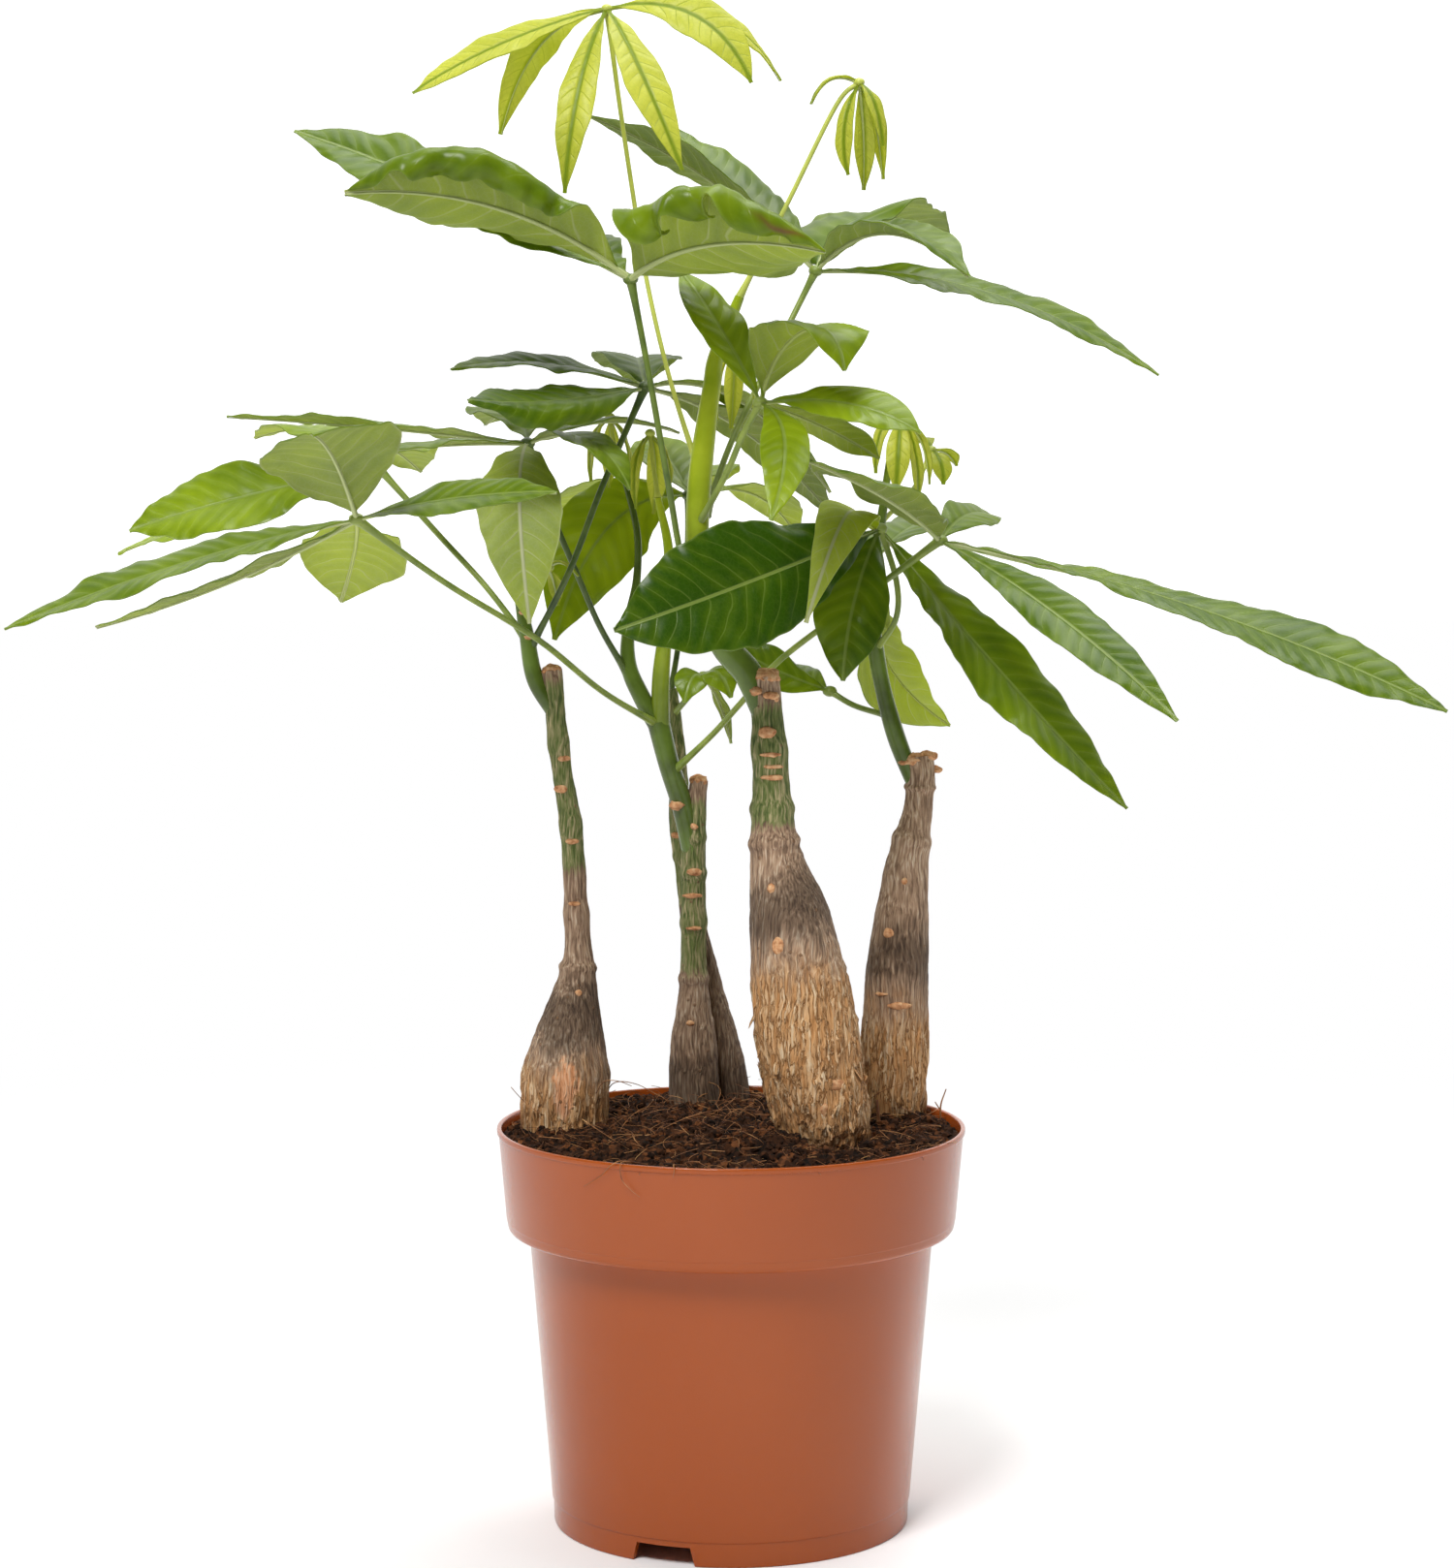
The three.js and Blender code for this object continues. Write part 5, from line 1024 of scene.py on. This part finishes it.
LEAVES = {
    "leaf_top": {
        "young": True, "tone": 0.7,
        "stalk": [[-11, -14, 380], [-22, -6, 415], [-30, -2, 449], [-35, 2, 480], [-40, 1, 514],
                  [-44, 0, 545]],
        "leaflets": [
            [[-36, -6, -13], [-68, -12, -31], 18, 32],
            [[-25, 22, -10], [-40, 32, -41], 17, -10],
            [[-9, -20, -30], [-14, -26, -67], 13, 10],
            [[12, -24, -24], [27, -36, -60], 16, 0],
            [[31, -10, -4], [51, -18, -28], 19, -48],
            [[37, 20, 0], [62, 30, -22], 16, -35],
        ],
    },
    "leaf_upper_left": {
        "tone": 0.35, "stalk_tone": 0.2,
        "stalk": [[-5, -18, 325], [-16, -26, 346], [-22, -30, 377], [-29, -32, 417], [-35, -30, 448]],
        "leaflets": [
            [[-45, -20, 23], [-96, -30, 27], 74, -46, {"cup": [-15, 62], "lip": [-190, 0], "widest": 0.62,
             "tone": 0.5, "blemish": [-0.5, 0.96]}],
            [[-62, 14, 31], [-119, 20, 53], 36, 30, {"twist": 6}],
            [[28, -42, 9], [66, -66, 5], 82, 48, {"cup": [58, -15], "lip": [0, -190], "widest": 0.5,
             "tone": 0.5, "blemish": [0.75, 0.86]}],
            [[-23, 48, 17], [-43, 92, 28], 34, 0],
        ],
    },
    "leaf_upper_right": {
        "tone": 0.35,
        "stalk": [[-9, -13, 366], [-2, 4, 387], [6, 18, 405], [22, 32, 437], [31, 35, 455]],
        "leaflets": [
            [[-40, 3, 34], [-84, 8, 57], 26, -20],
            [[-26, 30, 30], [-56, 56, 58], 32, 0],
            [[64, 3, -8], [126, -1, -38], 30, -20],
            [[20, 34, 22], [54, 64, 16], 54, 14, {"widest": 0.45}],
            [[25, -24, 12], [53, -44, -5], 36, 10, {"cup": [30, -30]}],
        ],
    },
    "leaf_front": {
        "tone": 0.72,
        "stalk": [[-12, -16, 362], [-2, -33, 380], [4, -42, 394], [10, -45, 405]],
        "leaflets": [
            [[-14, 6, 26], [-28, 17, 46], 21, 36],
            [[8, 0, 19], [28, -26, 10], 42, 108, {"fold": [20, -14, 25]}],
            [[30, -16, -1], [54, -24, -11], 24, -28],
            [[22, 12, -8], [42, 22, -19], 20, 20],
            [[8, -28, -14], [3, -50, -40], 17, -8],
        ],
    },
    "leaf_bud_top": {
        "young": True, "tone": 0.6,
        "stalk": [[3, -12, 443], [20, -12, 476], [37, -10, 510], [45, -10, 518]],
        "leaflets": [
            [[-10, -2, 1], [-17, -4, -8], 7, 0],
            [[-5, -6, -16], [-4, -8, -33], 8, 0],
            [[2, 5, -18], [2, 7, -37], 8, 0],
            [[6, 6, -12], [9, 9, -33], 8, 0],
            [[5, -6, -8], [8, -9, -23], 7, 0],
        ],
    },
    "leaf_far_right": {
        "tone": 0.42,
        "stalk": [[-22, 40, 270], [-7, 28, 285], [4, 16, 298], [18, 6, 314], [44, 0, 334], [75, 0, 357]],
        "leaflets": [
            [[-21, -40, 15], [-50, -75, 28], 42, 16, {"tone": 0.3}],
            [[12, 24, 9], [24, 46, 7], 19, -25],
            [[90, -28, -24], [171, -58, -58], 30, -4, {"twist": -34, "widest": 0.68, "tone": 0.3}],
            [[54, 22, -13], [92, 36, -20], 26, -10],
            [[39, -42, -26], [76, -76, -60], 21, -26, {"tone": 0.25}],
        ],
    },
    "leaf_low_right": {
        "tone": 0.3,
        "stalk": [[53, 28, 316], [60, 18, 328], [60, 14, 342], [54, 12, 361]],
        "leaflets": [
            [[-48, -54, -18], [-94, -76, -34], 45, 60, {"tone": 0.02}],
            [[41, -8, -49], [88, -20, -100], 33, -35, {"tone": 0.45}],
            [[-10, -18, -26], [-14, -22, -54], 26, 20],
            [[-8, -18, 5], [-28, -56, -32], 20, 8, {"fold": [-15, -44, 3], "tone": 1.0, "turned": True}],
        ],
    },
    "leaf_back_right": {
        "tone": 0.75,
        "stalk": [[51, 28, 336], [53, 42, 344], [54, 52, 350]],
        "leaflets": [
            [[3, 6, -36], [29, 14, -64], 43, 5, {"tone": 1.0}],
            [[-6, 10, -22], [-14, 16, -42], 28, 0],
            [[18, 34, 12], [32, 66, 10], 30, 0, {"tone": 0.4}],
            [[-6, 36, 8], [-8, 70, -2], 32, 0, {"tone": 0.4}],
        ],
    },
    "leaf_far_left": {
        "tone": 0.4,
        "stalk": [[-27, 40, 288], [-47, 14, 302], [-69, -12, 322], [-100, -38, 343], [-128, -60, 365]],
        "leaflets": [
            [[-4, -32, 20], [-8, -62, 28], 48, -14],
            [[-58, -8, -15], [-118, -14, -37], 28, 18],
            [[-46, 12, -22], [-94, 26, -38], 27, 0],
            [[-4, 30, -12], [-12, 58, -30], 38, -6, {"tone": 0.8}],
            [[35, -20, 7], [70, -32, 9], 24, -30],
        ],
    },
    "leaf_left_behind": {
        "tone": 0.7,
        "stalk": [[-74, 8, 321], [-89, 14, 340], [-107, 22, 359], [-129, 28, 383]],
        "leaflets": [
            [[-50, -3, -11], [-90, -9, -23], 37, 40, {"tone": 0.6}],
            [[-58, 28, -16], [-104, 48, -32], 30, 20, {"tone": 0.85}],
            [[-1, 44, 8], [8, 86, -1], 36, 0],
            [[-26, 40, 14], [-55, 74, 12], 33, 0],
        ],
    },
    "leaf_inner_left": {
        "tone": 0.45, "stalk_tone": 0.08,
        "stalk": [[-38, 42, 306], [-48, 34, 324], [-56, 28, 343], [-66, 22, 368], [-74, 20, 392]],
        "leaflets": [
            [[-56, 14, 6], [-112, 20, 10], 29, -6],
            [[-29, -26, -1], [-58, -46, -5], 28, 0],
            [[-7, 35, 12], [-20, 72, 8], 32, 0],
            [[-1, -34, -20], [3, -46, -64], 30, 6, {"tone": 0.5, "turned": True}],
            [[22, -22, 1], [38, -34, -17], 22, 0],
            [[27, 12, 8], [55, 20, 4], 22, 0],
        ],
    },
    "leaf_middle_rear": {
        "tone": 0.3, "stalk_tone": 0.08,
        "stalk": [[-73, 8, 317], [-58, -1, 346], [-46, 4, 377], [-31, 12, 412]],
        "leaflets": [
            [[-36, -6, 8], [-69, -14, 6], 28, 12],
            [[-32, -32, -6], [-60, -54, -6], 33, 14, {"cup": [-50, -20], "lip": [-70, 0]}],
            [[34, 26, -4], [68, 38, -38], 24, 0],
            [[36, 46, -15], [70, 66, -47], 32, 0],
            [[-4, 44, 12], [-4, 84, 2], 34, 0],
        ],
    },
    "leaf_rear": {
        "tone": 0.7, "stalk_tone": 0.15,
        "stalk": [[-23, 64, 298], [-20, 67, 316], [-17, 71, 342], [-16, 74, 373]],
        "leaflets": [
            [[-30, -10, -12], [-50, -22, -54], 36, 62, {"tone": 0.7}],
            [[-8, 24, 14], [-18, 42, 22], 27, 0],
            [[4, 26, 10], [8, 48, 2], 30, 0],
            [[24, 26, 1], [42, 48, -16], 30, 0],
            [[-34, 26, 2], [-62, 46, -16], 34, 0],
        ],
    },
    "leaf_small_low": {
        "tone": 0.4,
        "stalk": [[58, 29, 292], [46, 42, 295], [37, 48, 300]],
        "leaflets": [
            [[-20, -6, 8], [-36, -12, 17], 20, 48],
            [[-12, 16, 5], [-22, 32, 5], 16, 20],
        ],
    },
    "leaf_curled_low": {
        "tone": 0.5,
        "stalk": [[-22, 64, 290], [-14, 50, 300], [-10, 36, 306]],
        "leaflets": [
            [[5, -8, 2], [10, -13, -7], 14, -20],
            [[-4, -6, 0], [-7, -10, -9], 13, 20],
            [[6, 3, -10], [10, 4, -25], 9, 0],
        ],
    },
    "leaf_young_left": {
        "young": True, "tone": 0.8,
        "stalk": [[-40, 47, 381], [-44, 52, 394], [-45, 54, 402]],
        "leaflets": [
            [[-6, -3, -8], [-7, -4, -24], 7, 0],
            [[0, 6, -11], [-1, 8, -26], 7, 0],
            [[6, -1, -9], [7, -3, -22], 7, 0],
        ],
    },
    "leaf_young_middle": {
        "young": True, "tone": 0.8,
        "stalk": [[-27, 38, 372], [-29, 44, 386], [-30, 48, 396]],
        "leaflets": [
            [[-5, -4, -11], [-5, -5, -28], 7, 0],
            [[2, 6, -13], [1, 8, -30], 8, 0],
            [[6, -2, -9], [7, -3, -22], 7, 0],
        ],
    },
    "leaf_young_stem": {
        "young": True, "tone": 0.9,
        "stalk": [[-5, -12, 421], [-1, -4, 426], [1, 0, 427]],
        "leaflets": [
            [[-5, -3, -8], [-6, -4, -27], 7, 0],
            [[0, 6, -12], [-1, 8, -30], 7, 0],
            [[6, 1, -10], [7, 1, -24], 7, 0],
        ],
    },
    "leaf_young_right": {
        "young": True, "tone": 0.7,
        "stalk": [[58, 30, 386], [60, 30, 396], [62, 30, 402]],
        "leaflets": [
            [[-7, -4, -6], [-9, -5, -21], 8, 0],
            [[-1, -8, -12], [-2, -10, -28], 9, 0],
            [[5, -4, -13], [6, -7, -31], 9, 0],
            [[8, 2, -9], [11, 2, -25], 9, 0],
        ],
    },
    "leaf_young_back": {
        "young": True, "tone": 0.4,
        "stalk": [[55, 30, 363], [68, 44, 376], [75, 58, 390]],
        "leaflets": [
            [[-3, 12, 4], [-6, 25, 1], 10, 0],
            [[6, 5, -1], [10, 8, -6], 9, 0],
            [[3, -6, -5], [4, -9, -13], 9, 0],
        ],
    },
    "leaf_young_low": {
        "young": True, "tone": 0.5,
        "stalk": [[-75, 8, 329], [-71, 9, 340], [-66, 9, 347]],
        "leaflets": [
            [[5, -2, 2], [11, -4, -3], 6, 0],
            [[2, 4, -6], [3, 5, -14], 6, 0],
        ],
    },
}


# In the table's units.
STALK_RADIUS = 1.1
STALK_TONE = 0.38
HUB_SIZES = (2.7, 2.7, 2.1)
YOUNG_SIZE = 0.75
NARROW = 14
ROW_LENGTH = 1.1
CUP = (-20, -20)
WIDEST = 0.55
EDGE_START, ROLLED_EDGE_START = 0.66, 0.38  # shares of the half width where the edge starts to turn
NO_BLEMISH = (9, 9)


def pulls(mid, tip, fold=None):
    """The two handles of the cubic midrib that passes through mid, and through fold if there is one."""
    if fold is None:
        pull = mid * 2 - tip * 0.5
        return pull * (2 / 3), pull * (2 / 3) + tip / 3
    fold = Vector(fold)
    return mid * 3 - fold * 1.5 + tip / 3, fold * 3 - mid * 1.5 - tip * (5 / 6)


def make_leaf(name, leaf, stems, leaflets, skins):
    young = leaf.get("young", False)
    size = YOUNG_SIZE if young else 1.0
    rows = smooth_path([p + [0] for p in leaf["stalk"]], FINE_STEPS)
    share = np.linspace(0, 1, len(rows))
    # The stalk is thicker where it leaves the stem and at the hub.
    thicker = 0.9 * np.exp(-share / 0.05) + 0.7 * np.exp(-(1 - share) / 0.05)
    rows[:, 3] = STALK_RADIUS * size * (1 + thicker)
    fresh = 0.5 + leaf["tone"] / 2 if young else leaf.get("stalk_tone", STALK_TONE)
    hub = Vector(leaf["stalk"][-1])
    bones = Skeleton()
    bones.path(rows, fresh=fresh)
    bones.lump(hub, [part * size for part in HUB_SIZES], fresh=fresh)
    piece = bones.piece(name)
    grow(piece, stems, {
        "Sides": STALK_SIDES, "Bump Roughness": 0.4, "Skin": skins["stalk"], "Bump Skin": skins["stalk"]})
    for number, (mid, tip, width, roll, *more) in enumerate(leaf["leaflets"]):
        more = more[0] if more else {}
        mid, tip = Vector(mid), Vector(tip)
        pull_a, pull_b = pulls(mid, tip, more.get("fold"))
        length = mid.length + (tip - mid).length
        rolled = "lip" in more
        (left, right), (left_lip, right_lip) = more.get("cup", CUP), more.get("lip", (0, 0))
        turns = {"Roll": roll, "Twist": more.get("twist", 0), "Curl Left": left, "Curl Right": right,
                 "Lip Left": left_lip, "Lip Right": right_lip}
        sides = ("underside", "upper") if more.get("turned") else ("upper", "underside")
        above, below = (skins["young " + side if young else side] for side in sides)
        grow(piece, leaflets, {
            "Hub": hub * MM, "Pull A": (hub + pull_a) * MM, "Pull B": (hub + pull_b) * MM,
            "Tip": (hub + tip) * MM, "Length": length * MM, "Width": width * MM,
            **{label: math.radians(degrees) for label, degrees in turns.items()},
            "Peak": math.log(0.5) / math.log(more.get("widest", WIDEST)),
            "Lip Start": ROLLED_EDGE_START if rolled else EDGE_START,
            "Wave": number * 2.4, "Ruffle": (0.6 + width * 0.1) * MM,
            "Vein Spacing": (4.4 + width * 0.085) * MM, "Quilt": (0.15 + width * 0.009) * MM,
            "Tone": more.get("tone", leaf["tone"]), "Blemish": (*more.get("blemish", NO_BLEMISH), 0),
            "Rows": int(np.clip(length / ROW_LENGTH, 20, 150)),
            "Columns": 33 if rolled else 11 if width < NARROW else 23,
            "Upper": above, "Underside": below, "Rib": skins["rib"]})
    finished(piece, "leaf_young" if young else "leaf_green", name)


# ---- the object ---------------------------------------------------------

# Dry coconut and root fibre: thin tan to red-brown hairs with a faint sheen.
coir_fibre = speckled("dry coir fibre", 140.0, 2.0, [(0.35, "#5a3319"), (0.55, "#a06a3c"), (0.7, "#c99862")],
                      0.7, 0.0001)
# Leaf scars and old cut ends: pale tan cork with dark dots where the sap strands ended.
cork = speckled("tan cork of leaf scars", 600.0, 4.0, [(0.3, "#955f3c"), (0.5, "#c99266"), (0.75, "#e2bd92")],
                0.85, 0.0004, 0.3)
stem_skin = bark()
stems = stem_tree()
blades = leaflet_tree()
skins = {
    "stalk": stalk_skin(),
    "rib": rib_skin(),
    # Grown leaves: darker and glossy above, paler, greyer and more matt below.
    "upper": leaf_skin("waxy upper leaf skin", "#3a5f08", "#98b01a", "#93a950", 0.3,
                       ("#42640a", "#d4de2c"), 0.44, 0.3, -1.0, 0.00015),
    "underside": leaf_skin("matt underside of a leaf", "#8e9e5c", "#b9c84a", "#d4d6aa", 0.5,
                           ("#5c7e0e", "#e0e63a"), 0.44, 0.55, 1.0, 0.0003),
    # Young leaves are thin and yellow-green on both sides, and their veins are greener than the tissue.
    "young upper": leaf_skin("tender upper skin of a young leaf", "#a6b032", "#e0e060", "#789220", 0.75,
                             ("#b2c022", "#eef06a"), 0.5, 0.4, -1.0, 0.00015, 1.5),
    "young underside": leaf_skin("tender underside of a young leaf", "#acb444", "#e2e26c", "#80982a", 0.75,
                                 ("#b2c022", "#eef06a"), 0.5, 0.45, 1.0, 0.00015, 1.5),
}

make_pot(pot_plastic())
make_compost(peat(), coir_fibre)
make_root_hairs(stems, coir_fibre)
for trunk_name, trunk_shape in TRUNKS.items():
    make_trunk(trunk_name, trunk_shape, stems, stem_skin, cork)
for leaf_name, leaf_shape in LEAVES.items():
    make_leaf(leaf_name, leaf_shape, stems, blades, skins)

# ---- floor, light and camera --------------------------------------------

# White paper that takes the pot's shadow near it and fades to even white further out, so no horizon shows.
floor = new_piece("floor", [(-9, -9, 0), (9, -9, 0), (9, 9, 0), (-9, 9, 0)], (), [(0, 1, 2, 3)])
paper, sheet, spot = new_material("white paper")
matt = add(sheet, "ShaderNodeBsdfDiffuse", linear("#f8f8f8"))
spread = add(sheet, VECTOR, spot, operation="LENGTH")
spread = add(sheet, RANGE, spread.outputs["Value"], 0.25, 1.1, interpolation_type="SMOOTHSTEP")
even = add(sheet, "ShaderNodeEmission", (1, 1, 1, 1), 1.0)
add(sheet, "ShaderNodeOutputMaterial", add(sheet, "ShaderNodeMixShader", spread, matt, even))
# The paper's glow isn't sampled as a lamp: that way it leaves less noise on the leaves.
paper.cycles.emission_sampling = "NONE"
floor.data.materials.append(paper)

# A white wall of light behind the plant shines through its leaves, and the room in front of it is dimmer.
world = bpy.data.worlds.new("studio")
world.use_nodes = True
sky = world.node_tree
sky.nodes.clear()
direction = add(sky, "ShaderNodeSeparateXYZ", add(sky, "ShaderNodeTexCoord"))
wall = add(sky, RANGE, direction.outputs["Y"], 0.1, 0.7, 0.09, 1.3)
add(sky, "ShaderNodeOutputWorld", add(sky, "ShaderNodeBackground", (1, 1, 1, 1), wall))
bpy.context.scene.world = world


def softbox(name, place, aim, width, power):
    light = bpy.data.lights.new(name, "AREA")
    light.size = width
    light.energy = power
    lamp = bpy.data.objects.new(name, light)
    lamp.location = place
    lamp.rotation_euler = (Vector(aim) - Vector(place)).to_track_quat("-Z", "Y").to_euler()
    bpy.context.scene.collection.objects.link(lamp)


softbox("key light", (-0.5, -1.2, 1.9), (0, 0, 0.25), 0.7, 39)
softbox("top light", (0.35, 0.35, 2.2), (0, 0, 0.3), 1.3, 31)

CAMERA_PLACE = (-1.48 * MM, -1265.3 * MM, 374.5 * MM)
CAMERA_TILT = 0.083  # radians down from level
FOCAL_PIXELS = 3631
PHOTO_HEIGHT = 1618
lens = bpy.data.cameras.new("camera")
lens.sensor_fit = "VERTICAL"
lens.sensor_height = 36
lens.lens = lens.sensor_height * FOCAL_PIXELS / PHOTO_HEIGHT
lens.clip_end = 50
camera = bpy.data.objects.new("camera", lens)
camera.location = CAMERA_PLACE
camera.rotation_euler = (math.pi / 2 - CAMERA_TILT, 0, 0)
bpy.context.scene.collection.objects.link(camera)
bpy.context.scene.camera = camera
bpy.context.scene.view_settings.view_transform = "Standard"
